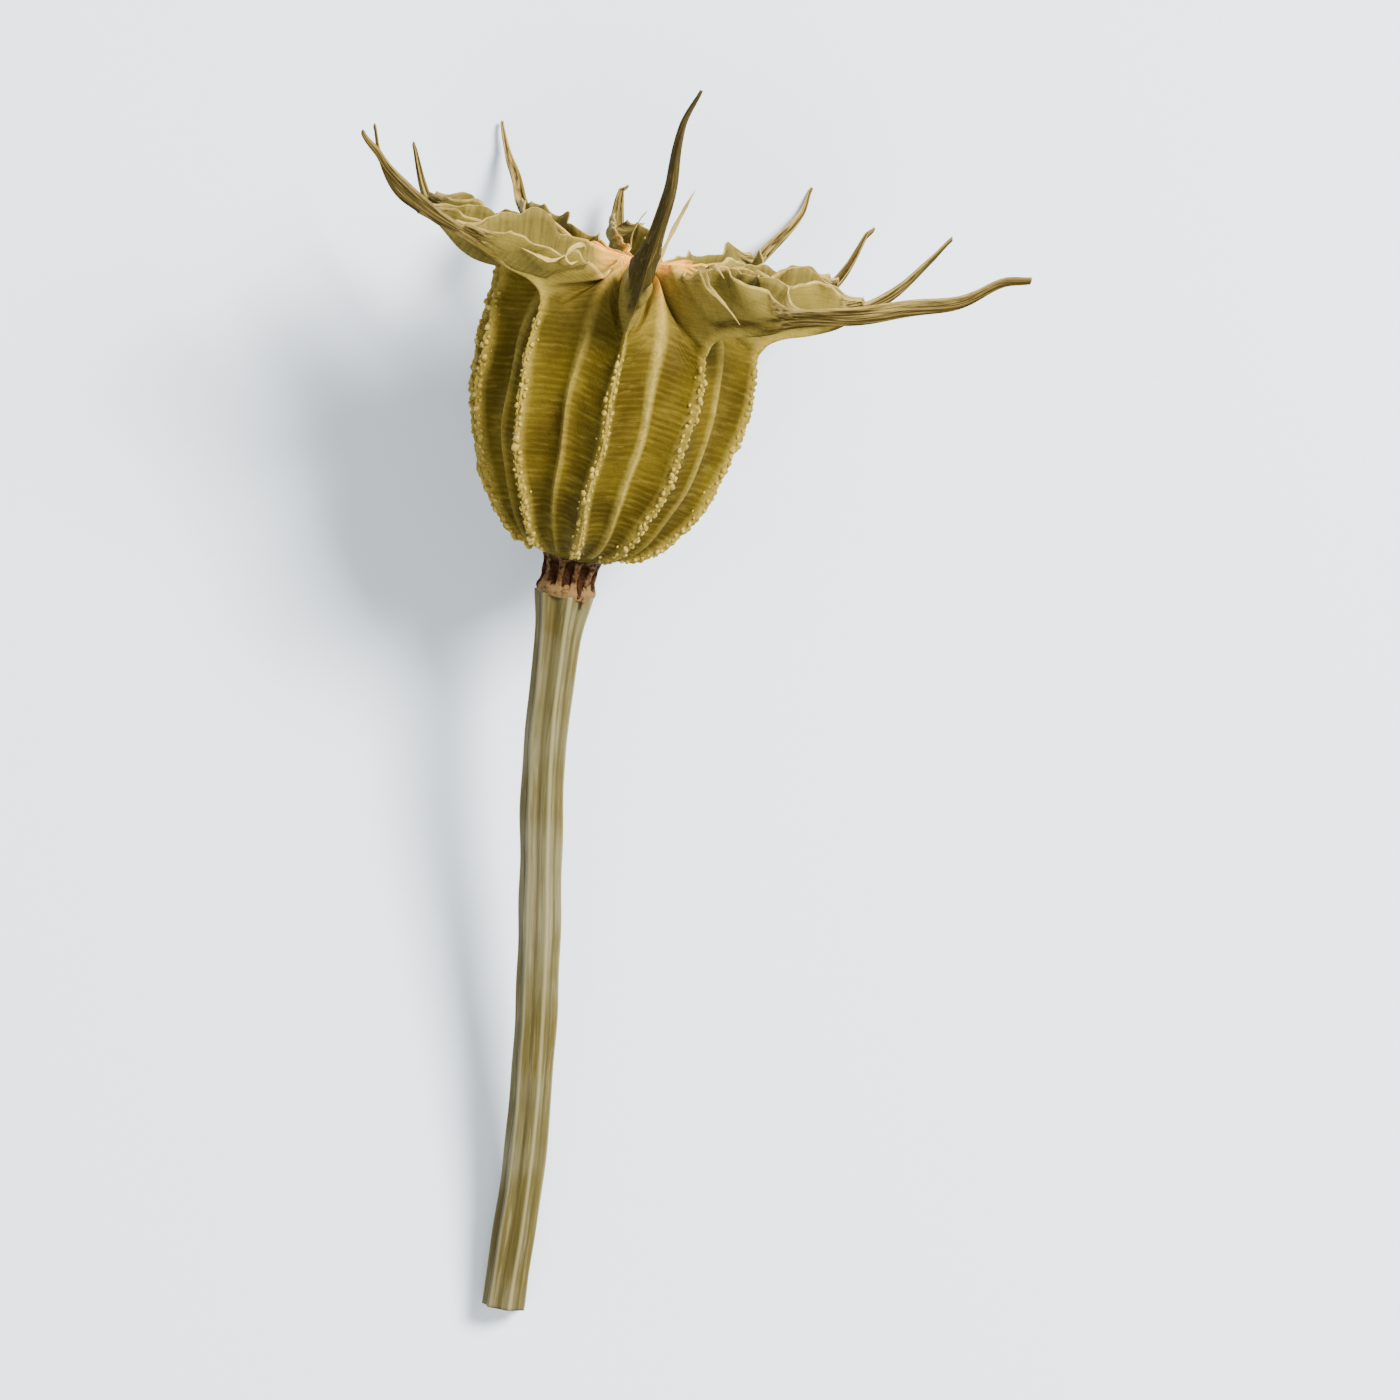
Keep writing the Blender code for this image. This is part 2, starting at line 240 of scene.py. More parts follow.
@dataclass
class Surface:
    """Patches that meet along equal points and become one welded mesh."""

    name: str
    patches: list[Patch] = field(default_factory=list)
    weld: float = 0.002

    def add(self, *patches: Patch) -> None:
        """Take more patches."""
        self.patches.extend(patches)

    def stacked(self, name: str) -> Array:
        """One field of all the patches, with a row for each point."""
        values = [getattr(patch, name) for patch in self.patches]
        return np.concatenate([value.reshape(-1, value.shape[-1]) for value in values])

    def build(self) -> bpy.types.Object:
        """Weld the patches, lay them down and write the mesh with its chart and attributes.

        Returns:
            The new object, at the origin.
        """
        corners, first = [], 0
        for patch in self.patches:
            rows, columns = patch.points.shape[:2]
            number = first + np.arange(rows * columns).reshape(rows, columns)
            low, right = number[:-1, :-1].ravel(), number[:-1, 1:].ravel()
            high, far = number[1:, :-1].ravel(), number[1:, 1:].ravel()
            sheets = np.concatenate([np.stack([low, right, far], 1), np.stack([low, far, high], 1)])
            corners.append(sheets[:, ::-1] if patch.flipped else sheets)
            first += rows * columns
        points, triangles = self.stacked("points"), np.concatenate(corners)
        keys = np.round(points / self.weld).astype(np.int64)
        _, kept, welded = np.unique(keys, axis=0, return_index=True, return_inverse=True)
        joined = welded.reshape(-1)[triangles]
        whole = np.all(joined != np.roll(joined, 1, axis=1), axis=1)
        joined, triangles = joined[whole], triangles[whole]
        mesh = mesh_from(self.name, LIE.place(points[kept]), joined)
        for name in PAINTED:
            write_colours(mesh, name, self.stacked(name)[kept])
        layer = mesh.uv_layers.new(name="chart")
        layer.data.foreach_set("uv", self.stacked("chart")[triangles].ravel())
        return linked(self.name, mesh)


def mesh_from(name: str, points: Array, faces: Array) -> bpy.types.Mesh:
    """A smooth mesh of faces that all have the same number of corners."""
    mesh = bpy.data.meshes.new(name)
    mesh.from_pydata(points.tolist(), [], faces.tolist())
    mesh.shade_smooth()
    return mesh


def write_colours(mesh: bpy.types.Mesh, name: str, values: Array) -> None:
    """Store three values for each vertex as a colour attribute."""
    layer = mesh.attributes.new(name, "FLOAT_COLOR", "POINT")
    full = np.concatenate([values, np.ones((len(values), 1))], axis=1)
    layer.data.foreach_set("color", full.astype(np.float32).ravel())


def linked(name: str, mesh: bpy.types.Mesh) -> bpy.types.Object:
    """A new object of the mesh in the scene."""
    piece = bpy.data.objects.new(name, mesh)
    bpy.context.scene.collection.objects.link(piece)
    return piece


class Graph:
    """A material's nodes, with short calls for the ones that these finishes use."""

    def __init__(self, name: str) -> None:
        """Start a material with a Principled shader."""
        self.material = bpy.data.materials.new(name)
        self.material.use_nodes = True
        self.tree = self.material.node_tree
        self.shader = self.tree.nodes["Principled BSDF"]

    def add(self, kind: str, **settings: Any) -> bpy.types.Node:
        """Add a node and set its properties."""
        node = self.tree.nodes.new(kind)
        for key, value in settings.items():
            setattr(node, key, value)
        return node

    def feed(self, socket: bpy.types.NodeSocket, value: Any) -> None:
        """Link a socket to the input, or set a plain value on it."""
        if isinstance(value, bpy.types.NodeSocket):
            self.tree.links.new(value, socket)
        elif isinstance(value, tuple) and len(value) == 3 and socket.type == "RGBA":
            socket.default_value = (*value, 1.0)
        else:
            socket.default_value = value

    def attribute(self, name: str) -> list[bpy.types.NodeSocket]:
        """The three values of a colour attribute."""
        source = self.add("ShaderNodeAttribute", attribute_name=name)
        split = self.add("ShaderNodeSeparateColor")
        self.feed(split.inputs[0], source.outputs["Color"])
        return list(split.outputs)[:3]

    def coordinates(self, scale: tuple[float, float, float] = (1.0, 1.0, 1.0),
                    chart: bool = False) -> bpy.types.NodeSocket:
        """Object coordinates, or the chart's, in millimetres times the scale."""
        source = self.add("ShaderNodeTexCoord")
        mapping = self.add("ShaderNodeMapping")
        factor = 1.0 if chart else 1.0 / MM
        self.feed(mapping.inputs["Vector"], source.outputs["UV" if chart else "Object"])
        mapping.inputs["Scale"].default_value = tuple(factor * value for value in scale)
        return mapping.outputs["Vector"]

    def noise(self, vector: bpy.types.NodeSocket, scale: float, detail: float = 3.0,
              roughness: float = 0.55) -> bpy.types.NodeSocket:
        """Noise of about 0.3 to 0.7 with its features 1 / scale apart."""
        node = self.add("ShaderNodeTexNoise")
        self.feed(node.inputs["Vector"], vector)
        for key, value in (("Scale", scale), ("Detail", detail), ("Roughness", roughness)):
            node.inputs[key].default_value = value
        return node.outputs["Fac"]

    def bands(self, vector: bpy.types.NodeSocket, period: float) -> bpy.types.NodeSocket:
        """Wavering bands across the second coordinate, from 0 to 1, that period apart."""
        node = self.add("ShaderNodeTexWave", wave_type="BANDS", bands_direction="Y")
        self.feed(node.inputs["Vector"], vector)
        for key, value in (("Scale", math.pi / 10 / period), ("Distortion", 3.6), ("Detail", 2.0),
                           ("Detail Scale", 1.3), ("Detail Roughness", 0.6)):
            node.inputs[key].default_value = value
        return node.outputs["Fac"]

    def spread(self, value: Any, low: float, high: float, to_low: float = 0.0,
               to_high: float = 1.0) -> bpy.types.NodeSocket:
        """The value moved from one range to another and kept inside it."""
        node = self.add("ShaderNodeMapRange", clamp=True)
        for key, setting in zip(("Value", "From Min", "From Max", "To Min", "To Max"),
                                (value, low, high, to_low, to_high)):
            self.feed(node.inputs[key], setting)
        return node.outputs[0]

    def maths(self, operation: str, first: Any, second: Any) -> bpy.types.NodeSocket:
        """One arithmetic step."""
        node = self.add("ShaderNodeMath", operation=operation)
        self.feed(node.inputs[0], first)
        self.feed(node.inputs[1], second)
        return node.outputs[0]

    def plus(self, first: Any, second: Any) -> bpy.types.NodeSocket:
        """The sum of two values."""
        return self.maths("ADD", first, second)

    def times(self, first: Any, second: Any) -> bpy.types.NodeSocket:
        """The product of two values."""
        return self.maths("MULTIPLY", first, second)

    def mix(self, factor: Any, first: Any, second: Any) -> bpy.types.NodeSocket:
        """The first colour mixed with the second by the factor."""
        node = self.add("ShaderNodeMix", data_type="RGBA")
        self.feed(node.inputs["Factor"], factor)
        self.feed(node.inputs[6], first)
        self.feed(node.inputs[7], second)
        return node.outputs[2]

    def layered(self, colour: Any, *layers: tuple[Any, Any]) -> bpy.types.NodeSocket:
        """The colour with other colours mixed over it in turn, each by its own share."""
        for share, tint in layers:
            colour = self.mix(share, colour, tint)
        return colour

    def finish(self, colour: Any, roughness: Any, height: Any, depth: float, strength: float,
               gloss: float = 0.5) -> bpy.types.Material:
        """Connect colour, roughness, gloss and a bump of that depth in metres."""
        self.feed(self.shader.inputs["Base Color"], colour)
        self.feed(self.shader.inputs["Roughness"], roughness)
        self.feed(self.shader.inputs["Specular IOR Level"], gloss)
        bump = self.add("ShaderNodeBump")
        bump.inputs["Strength"].default_value = strength
        bump.inputs["Distance"].default_value = depth
        self.feed(bump.inputs["Height"], height)
        self.feed(self.shader.inputs["Normal"], bump.outputs["Normal"])
        return self.material


@dataclass(frozen=True)
class SkinFinish:
    """Dry papery skin: olive panels, pale ridges, cream rims, a peach hub and straw beaks."""

    shade: Colour = (0.032, 0.017, 0.0006)
    olive: Colour = (0.058, 0.041, 0.0025)
    gold: Colour = (0.112, 0.080, 0.006)
    wing: Colour = (0.262, 0.198, 0.041)
    # Paler colour round the hub: partly its own paleness, partly painted light that fills the shade of
    # the hollow there.
    hub_pale_and_painted_fill: Colour = (0.36, 0.258, 0.045)
    inside: Colour = (0.155, 0.118, 0.028)
    ridge: Colour = (0.31, 0.225, 0.038)
    crease: Colour = (0.39, 0.288, 0.062)
    rim: Colour = (0.50, 0.35, 0.10)
    peach: Colour = (0.92, 0.41, 0.045)
    apricot: Colour = (0.46, 0.20, 0.028)
    straw: Colour = (0.33, 0.23, 0.07)
    tan: Colour = (0.20, 0.13, 0.025)
    dusk: Colour = (0.034, 0.023, 0.003)
    bruise: Colour = (0.05, 0.024, 0.003)

    def build(self) -> bpy.types.Material:
        """Mix the colours by the zones, marks and tones, with streaks along the chart."""
        graph = Graph("pod_skin")
        rim, beak, hub = graph.attribute("zones")
        keel, seam, inner = graph.attribute("marks")
        # The second tone is the beaks' own dark colour together with painted shade under the wings and
        # beside their keels.
        valley_shade, dark, bruised = graph.attribute("tones")
        place = graph.coordinates()
        cloud = graph.noise(place, 0.26, 2.0)
        mottle = graph.noise(place, 1.5, 5.0, 0.65)
        bars = graph.bands(graph.coordinates((0.35, 1.0, 1.0), chart=True), 0.40)
        dashes = graph.noise(graph.coordinates((0.6, 2.6, 1.0), chart=True), 1.0, 3.0, 0.6)
        fibres = graph.noise(graph.coordinates((5.5, 0.5, 1.0), chart=True), 1.0, 4.0, 0.6)
        grain = graph.noise(place, 5.0, 3.0, 0.6)
        # Lips and peach strands are held back where the beaks are dark or painted shade lies.
        unlit = graph.spread(dark, 0.0, 1.0, 1.0, 0.1)
        worn = graph.times(graph.spread(mottle, 0.35, 0.65, 1.0, 0.65),
                           graph.spread(grain, 0.42, 0.62, 1.0, 0.62))
        panels = graph.layered(
            self.olive,
            (graph.spread(cloud, 0.38, 0.62), self.gold),
            (graph.spread(graph.plus(beak, graph.times(rim, 2.0)), 0.0, 0.35, 0.0, 0.7), self.wing),
            # Lighter towards the hub: partly its own paleness, partly painted fill light in the shaded
            # hollow round it.
            (graph.spread(hub, 0.04, 0.40, 0.0, 0.8), self.hub_pale_and_painted_fill),
            (graph.times(inner, 0.65), self.inside),
            # Painted shade, deepest in the middle of each panel between keel and seam.
            (graph.spread(valley_shade, 0.15, 0.95, 0.0, 0.33), self.shade),
            (graph.spread(mottle, 0.50, 0.70, 0.0, 0.30), self.shade),
            (graph.spread(bars, 0.55, 1.0, 0.0, 0.12), self.shade),
            (graph.spread(bars, 0.40, 0.0, 0.0, 0.06), self.ridge),
            (graph.spread(dashes, 0.50, 0.66, 0.0, 0.22), self.shade),
            (graph.spread(dashes, 0.45, 0.32, 0.0, 0.17), self.ridge),
            (graph.times(bruised, graph.spread(mottle, 0.35, 0.6)), self.bruise))
        streaks = graph.mix(graph.spread(fibres, 0.40, 0.60), self.straw, self.dusk)
        # The beaks' own dark colour together with painted shade under the wings and in the grooves beside
        # their keels, made uneven by fibres.
        beak_dusk_and_painted_shade = graph.plus(dark, graph.spread(fibres, 0.35, 0.65, -0.2, 0.2))
        crease = graph.mix(graph.spread(hub, 0.10, 0.50, 0.0, 0.8), self.crease, self.peach)
        lip = graph.layered(
            self.rim,
            (graph.spread(hub, 0.10, 0.60), self.peach),
            (graph.spread(fibres, 0.48, 0.66, 0.0, 0.55), self.tan),
            (graph.spread(mottle, 0.48, 0.62, 0.0, 0.50), self.tan))
        lip_share = graph.spread(graph.plus(rim, graph.times(mottle, 0.5)), 0.62, 0.95)
        glow = graph.times(graph.spread(hub, 0.55, 0.90), graph.spread(fibres, 0.35, 0.6, 1.0, 0.45))
        strands = graph.mix(graph.spread(fibres, 0.44, 0.60, 0.0, 0.8), self.peach, self.apricot)
        colour = graph.layered(
            panels,
            (graph.spread(beak, 0.25, 0.55), streaks),
            # Dusk colour over the dark beaks, and as painted shade under the wings and beside their
            # keels.
            (graph.spread(beak_dusk_and_painted_shade, 0.2, 0.95, 0.0, 0.96), self.dusk),
            (graph.times(graph.spread(seam, 0.28, 1.0, 0.0, 0.86), worn), crease),
            (graph.times(graph.spread(keel, 0.15, 0.75, 0.0, 0.95), worn), self.ridge),
            (graph.times(lip_share, unlit), lip),
            (graph.times(glow, unlit), strands))
        fibrous = graph.times(fibres, graph.spread(beak, 0.0, 0.5, 0.06, 0.45))
        height = graph.plus(graph.plus(graph.times(dashes, 0.6), fibrous), graph.times(grain, 0.45))
        rough = graph.spread(mottle, 0.3, 0.7, 0.55, 0.75)
        return graph.finish(colour, rough, height, 0.12 * MM, 0.7, gloss=0.04)


@dataclass(frozen=True)
class WartFinish:
    """Pale yellow dry warts, mottled with a browner tan."""

    pale: Colour = (0.42, 0.300, 0.062)
    tan: Colour = (0.26, 0.180, 0.024)

    def build(self) -> bpy.types.Material:
        """Mottle the two colours."""
        graph = Graph("wart")
        mottle = graph.noise(graph.coordinates(), 2.2, 3.0)
        grain = graph.noise(graph.coordinates(), 9.0, 2.0)
        colour = graph.mix(graph.spread(mottle, 0.40, 0.62), self.pale, self.tan)
        return graph.finish(colour, 0.6, grain, 0.03 * MM, 0.6, gloss=0.15)


@dataclass(frozen=True)
class ScarFinish:
    """The receptacle: dark red-brown scars between pale brown ribs."""

    scar: Colour = (0.013, 0.004, 0.0015)
    bark: Colour = (0.060, 0.020, 0.005)
    rib: Colour = (0.165, 0.095, 0.032)

    def build(self) -> bpy.types.Material:
        """Colour by the rib mark, with crumbs of noise."""
        graph = Graph("receptacle")
        rib, _, _ = graph.attribute("marks")
        crumbs = graph.noise(graph.coordinates(), 3.0, 5.0, 0.65)
        dark = graph.mix(graph.spread(crumbs, 0.40, 0.65), self.scar, self.bark)
        shares = graph.plus(rib, graph.spread(crumbs, 0.3, 0.7, -0.45, 0.3))
        colour = graph.mix(graph.spread(shares, 0.35, 0.85), dark, self.rib)
        return graph.finish(colour, 0.75, crumbs, 0.15 * MM, 0.8, gloss=0.08)


@dataclass(frozen=True)
class StemFinish:
    """A dry fluted stem: sage flutes, straw crests, fine fibres along it."""

    sage: Colour = (0.082, 0.064, 0.015)
    grey: Colour = (0.145, 0.127, 0.060)
    crest: Colour = (0.29, 0.245, 0.12)
    groove: Colour = (0.040, 0.027, 0.004)
    pith: Colour = (0.62, 0.53, 0.35)

    def build(self) -> bpy.types.Material:
        """Colour by the flute mark, with fibres that follow the chart."""
        graph = Graph("stem")
        crest, groove, cut = graph.attribute("marks")
        fibres = graph.noise(graph.coordinates((4.2, 0.22, 1.0), chart=True), 1.0, 5.0, 0.62)
        cloud = graph.noise(graph.coordinates(), 0.16, 2.0)
        colour = graph.layered(
            self.sage,
            (graph.spread(cloud, 0.38, 0.62), self.grey),
            (graph.spread(fibres, 0.52, 0.68, 0.0, 0.45), self.groove),
            (graph.spread(fibres, 0.46, 0.32, 0.0, 0.35), self.crest),
            (graph.spread(crest, 0.4, 1.0, 0.0, 0.55), self.crest),
            (graph.spread(groove, 0.5, 1.0, 0.0, 0.6), self.groove),
            (graph.spread(cut, 0.3, 0.7), self.pith))
        rough = graph.spread(fibres, 0.3, 0.7, 0.5, 0.72)
        return graph.finish(colour, rough, fibres, 0.10 * MM, 0.8, gloss=0.12)


@dataclass(frozen=True)
class TableFinish:
    """The plain pale table."""

    tone: Colour = (0.83, 0.92, 0.99)
    drifted: Colour = (0.78, 0.87, 0.95)

    def build(self) -> bpy.types.Material:
        """A matt surface with the faintest unevenness."""
        graph = Graph("table")
        drift = graph.noise(graph.coordinates((0.05, 0.05, 0.05)), 0.2, 2.0)
        colour = graph.mix(graph.spread(drift, 0.3, 0.7, 0.0, 0.03), self.tone, self.drifted)
        return graph.finish(colour, 0.9, drift, 0.1 * MM, 0.1)


class Side(Enum):
    """The two halves of a follicle, seen from the viewer's side."""

    LEFT = -1
    RIGHT = 1


@dataclass
class WingLines:
    """The lines that half a wing is stretched between, with a value or a point for each row.

    The lines are the keel, the lip, the rim's top, the inner side of the lip and the trough's
    floor. Out and keel_out are the lip's and the keel's distances from the axis before the
    wing is bent. Beak and rooted rise to 1 along the beak and past the wing's first rows.
    Bulge is how far the walls stand out sideways, spread how far the lip does and depth how
    deep the trough is. Shift is how the crinkles move the lip, and drift how the beak curls.
    """

    index: int
    side: Side
    share: Array
    out: Array
    keel_out: Array
    beak: Array
    rooted: Array
    bulge: Array
    spread: Array
    depth: Array
    keel: Array
    lip: Array
    top: Array
    inner: Array
    floor: Array
    shift: Array
    drift: Array

    @property
    def follicle(self) -> Follicle:
        """The wing's follicle."""
        return FOLLICLES[self.index]

    @property
    def sideways(self) -> Array:
        """The way out of the follicle's plane on this side of it."""
        return self.side.value * sideward(self.follicle.angle)


@dataclass
class Capsule:
    """The fused follicles with their keels, seams, wings, lips and beaks.

    Lines are in a follicle's plane, in millimetres, as distance from the axis and height.
    Lip_spread and trough_depth belong to the points of lip_wing, and seam_paint is how pale
    each seam is. The glow is the peach of the hub, and middle_height is the middle of the
    fused part. A stria is a fine cross rib. The grooves run beside the keels of the wings.
    Beak_start is where a wing is stretched from, up to full_reach as drawn, and the bend is
    where a beak turns up.
    """

    keel_body: tuple = ((2.2, 0.0), (4.7, 1.3), (6.7, 4.0), (8.0, 7.6), (8.45, 10.8), (8.35, 13.0),
                        (8.25, 14.3))
    seam_body: tuple = ((2.05, 0.0), (4.35, 1.4), (6.25, 4.3), (7.35, 8.1), (7.5, 11.6), (6.8, 14.9),
                        (4.75, 17.4), (0.9, 18.2))
    keel_wing: tuple = ((8.25, 14.3), (8.6, 15.15), (9.5, 15.8), (10.9, 16.25), (12.4, 16.8),
                        (13.8, 17.45), (17.6, 18.85), (21.0, 20.75), (25.0, 23.6))
    lip_wing: tuple = ((0.9, 18.2), (3.6, 18.5), (6.4, 19.0), (9.4, 19.7), (11.7, 19.3), (13.6, 18.5),
                       (17.6, 19.9), (21.0, 21.55), (25.0, 24.0))
    lip_spread: tuple = (0.28, 0.65, 1.0, 1.25, 1.0, 0.58, 0.42, 0.30, 0.08)
    trough_depth: tuple = (0.12, 0.9, 2.0, 2.7, 1.9, 0.6, 0.38, 0.26, 0.08)
    hub_height: float = 17.95
    glow_centre: tuple = (0.0, 0.0, 18.2)
    glow_reach: float = 5.2
    middle_height: float = 8.0
    lip_wall: float = 0.13
    panel_dip: float = 0.30
    wall_bulge: float = 0.65
    wave_height: float = 0.22
    wave_spread: float = 0.2
    crinkle: float = 0.24
    crest: float = 0.27
    crest_width: float = 0.36
    seam_ridge: float = 0.24
    seam_width: float = 0.36
    seam_paint: tuple = (1.0, 0.74, 0.70, 0.76, 0.68, 0.72, 0.68, 0.76, 0.68, 0.64)
    stria: float = 0.027
    stria_step: float = 0.42
    groove_place: float = 0.58
    groove_width: float = 0.26
    groove_depth: float = 0.2
    bruise_place: tuple = (-2.6, -7.2, 8.2)
    bruise_size: float = 0.95
    beak_start: tuple = (13.8, 17.45)
    full_reach: float = 25.0
    bend_from: float = 7.8
    bend_to: float = 13.5
    bend_height: float = 17.0
    body_rows: int = 196
    wing_rows: int = 92
    wall_columns: int = 12
    trough_columns: int = 7
    joint_rows: int = 9
    hub_rows: int = 4
    chart_step: float = 6.0

    def bent(self, follicle: Follicle, reach: Array, height: Array) -> tuple[Array, Array]:
        """Bend points of the plane upwards beyond the shoulder, on an arc of angle lift."""
        table = np.linspace(0, 40, 401)
        angle = math.radians(follicle.lift) * smooth_step(table, self.bend_from, self.bend_to)
        step = table[1] - table[0]
        along = np.concatenate([[0], np.cumsum(np.cos(angle[:-1])) * step])
        rise = np.concatenate([[0], np.cumsum(np.sin(angle[:-1])) * step])
        turn = np.interp(reach, table, angle)
        above = height - self.bend_height
        return (np.interp(reach, table, along) - above * np.sin(turn),
                self.bend_height + np.interp(reach, table, rise) + above * np.cos(turn))

    def in_pod(self, follicle: Follicle, reach: Array, height: Array, across: Array) -> Array:
        """Pod coordinates of points of a follicle's plane, moved out of it by across."""
        angle = follicle.angle + math.radians(follicle.sweep) * smooth_step(reach, 6.0, follicle.reach)
        out, up = self.bent(follicle, reach, height)
        return np.stack([out * np.sin(angle) + across * np.cos(angle),
                         -out * np.cos(angle) + across * np.sin(angle), up], axis=-1)

    def fitted(self, follicle: Follicle, line: Array) -> tuple[Array, Array]:
        """A wing line whose part beyond the trough is stretched to the follicle's reach."""
        start_out, start_up = self.beak_start
        scale = (follicle.reach - start_out) / (self.full_reach - start_out)
        out, up = line.T
        beyond = out > start_out
        return (np.where(beyond, start_out + (out - start_out) * scale, out),
                np.where(beyond, start_up + (up - start_up) * (0.5 + 0.5 * scale), up))

    def seam_number(self, index: int, side: Side) -> int:
        """The number of the seam at one side of a follicle."""
        return index if side is Side.RIGHT else index - 1

    def seam_azimuth(self, index: int) -> float:
        """The azimuth of the seam after a follicle, halfway to the next one, in radians."""
        own = FOLLICLES[index % len(FOLLICLES)].azimuth
        gap = (FOLLICLES[(index + 1) % len(FOLLICLES)].azimuth - own) % 360
        return math.radians(own + gap / 2)

    def keel_line(self, index: int, share: Array) -> tuple[Array, Array]:
        """The keel of the fused part and the way out of it.

        Args:
            index: Which follicle.
            share: How far up the line each point is.

        Returns:
            Points, and unit vectors square to the line in the follicle's plane.
        """
        follicle = FOLLICLES[index]
        out, up = smooth_line(self.keel_body, share).T
        up = up + follicle.shoulder * smooth_step(share, 0.4, 1.0)
        line = self.in_pod(follicle, out, up, 0 * out)
        across = sideward(follicle.angle)
        wander = 0.10 * np.sin(TURN * up / 6.3 + 1.9 * index) * smooth_step(share, 0.05, 0.3)
        wander *= 1 - smooth_step(share, 0.8, 1.0)
        line = line + wander[:, None] * across
        return line, unit(np.cross(across, np.gradient(line, axis=0)))

    def seam_share(self, share: Array) -> Array:
        """How far up the seam the rows end that start at the shares of the keel.

        Rows join points that are seen at the same angle from the middle of the fused part,
        and over its upper half they spread out to reach the seam's inner end.
        """
        fine = np.linspace(0, 1, 500)
        angles = [np.arctan2(line[:, 1] - self.middle_height, line[:, 0])
                  for line in (smooth_line(self.keel_body, fine), smooth_line(self.seam_body, fine))]
        level = np.interp(np.interp(share, fine, angles[0]), angles[1], fine)
        level = level - level[0] * (1 - share)
        return level + (1 - level[-1]) * np.clip((share - 0.5) / 0.5, 0, 1) ** 2

    def seam_line(self, seam_index: int, share: Array) -> tuple[Array, Array]:
        """The seam of the fused part and the way out of it.

        Args:
            seam_index: The number of the follicle before the seam.
            share: How far up the keel each row starts that ends on the seam.

        Returns:
            Points, and unit vectors square to the line in the seam's plane.
        """
        angle = self.seam_azimuth(seam_index)
        out, up = smooth_line(self.seam_body, self.seam_share(share)).T
        across = sideward(angle)
        wander = 0.09 * np.sin(TURN * up / 7.1 + 2.3 * (seam_index % len(FOLLICLES)))
        wander *= smooth_step(share, 0.05, 0.3) * (1 - smooth_step(share, 0.7, 0.95))
        line = out[:, None] * outward(angle) + up[:, None] * UP + wander[:, None] * across
        return line, unit(np.cross(across, np.gradient(line, axis=0)))

    def hub_mark(self, points: Array) -> Array:
        """How near points are to the hub, where the seams and lips turn to peach."""
        return bell(np.linalg.norm(points - np.array(self.glow_centre), axis=-1), self.glow_reach)

    def wall_shares(self) -> Array:
        """Shares across a wall from its keel, closer together at both ends."""
        return 0.5 - 0.5 * np.cos(np.linspace(0, math.pi, self.wall_columns + 1))

    def bars(self, points: Array, along: Array) -> Array:
        """Fine cross ribs: a sine of the way along, of uneven height and with uneven gaps."""
        wobble = 1.9 * ripple(points, 3.2, 5) + 1.2 * ripple(points, 1.1, 6)
        height = np.clip(0.65 + 0.5 * ripple(points, 2.2, 7), 0.1, 1.3)
        return self.stria * height * np.sin(TURN * along / self.stria_step + wobble)

    def body_patch(self, index: int, side: Side) -> Patch:
        """Half a follicle's fused part, from its keel to its seam, with a base row.

        The wall is a straight line from keel to seam, dipped in its middle, plus a crest on
        the keel, a ridge on the seam, fine ribs across and a slow unevenness.
        """
        share = np.linspace(0, 1, self.body_rows + 1)
        keel, keel_out = self.keel_line(index, share)
        seam_index = self.seam_number(index, side)
        seam_angle = self.seam_azimuth(seam_index)
        seam, seam_out = self.seam_line(seam_index, share)

        own = FOLLICLES[index].angle
        middle = own + 0.5 * ((seam_angle - own + math.pi) % TURN - math.pi)
        turned = smooth_step(share, 0.72, 1.0)
        facing = (outward(middle) * (1 - turned[:, None])
                  + side.value * sideward(own) * turned[:, None])
        bulge = (1 - turned) * -self.panel_dip * smooth_step(share, 0, 0.15) + turned * self.wall_bulge

        across = self.wall_shares()
        points = at_shares(keel, seam, across)
        hump = 4 * across * (1 - across)
        width = np.linalg.norm(seam - keel, axis=-1)
        from_keel = width[:, None] * across[None]
        from_seam = width[:, None] * (1 - across)[None]
        along = travelled(keel)[:, None] * (1 - across) + travelled(seam)[:, None] * across
        rise = bulge[:, None] * hump[None]
        clear = smooth_step(share, 0.04, 0.12)
        rise = rise + self.bars(points, along) * hump ** 0.6 * (clear * (1 - 0.9 * turned))[:, None]
        rise = rise + 0.09 * ripple(points, 2.6, 17) * hump * clear[:, None]
        points = points + rise[..., None] * facing[:, None]
        fading = smooth_step(share, 0.02, 0.10)
        keel_mark = bell(from_keel, self.crest_width) * fading[:, None]
        seam_mark = bell(from_seam, self.seam_width * (1 + 1.3 * smooth_step(share, 0.6, 0.92))[:, None])
        seam_mark = seam_mark * fading[:, None]
        rugged = 1 + 0.25 * ripple(points, 0.9, 8) + 0.22 * ripple(points, 0.42, 9)
        crest = self.crest * rugged * keel_mark * np.clip(4 * (1 - across), 0, 1)
        points = points + crest[..., None] * keel_out[:, None]
        ridge = self.seam_ridge * (1 - smooth_step(share, 0.85, 1.0))
        ridge = ridge[:, None] * seam_mark * np.clip(4 * across, 0, 1)
        points = points + ridge[..., None] * seam_out[:, None]
        lively = smooth_step(share, 0.0, 0.08) * (1 - smooth_step(share, 0.96, 1.0))
        unevenness = 0.08 * lively[:, None] * ripple(points, 4.5, 11)
        points = points + unevenness[..., None] * unit(points - self.middle_height * UP)

        hub = self.hub_mark(points)
        zones = np.stack([0 * hub, 0 * hub, hub], axis=-1)
        seam_paint = self.seam_paint[seam_index % len(FOLLICLES)]
        seam_paint = seam_paint * (0.7 + 0.3 * smooth_step(share, 0.15, 0.5))
        marks = np.stack([keel_mark, seam_mark * seam_paint[:, None], 0 * hub], axis=-1)
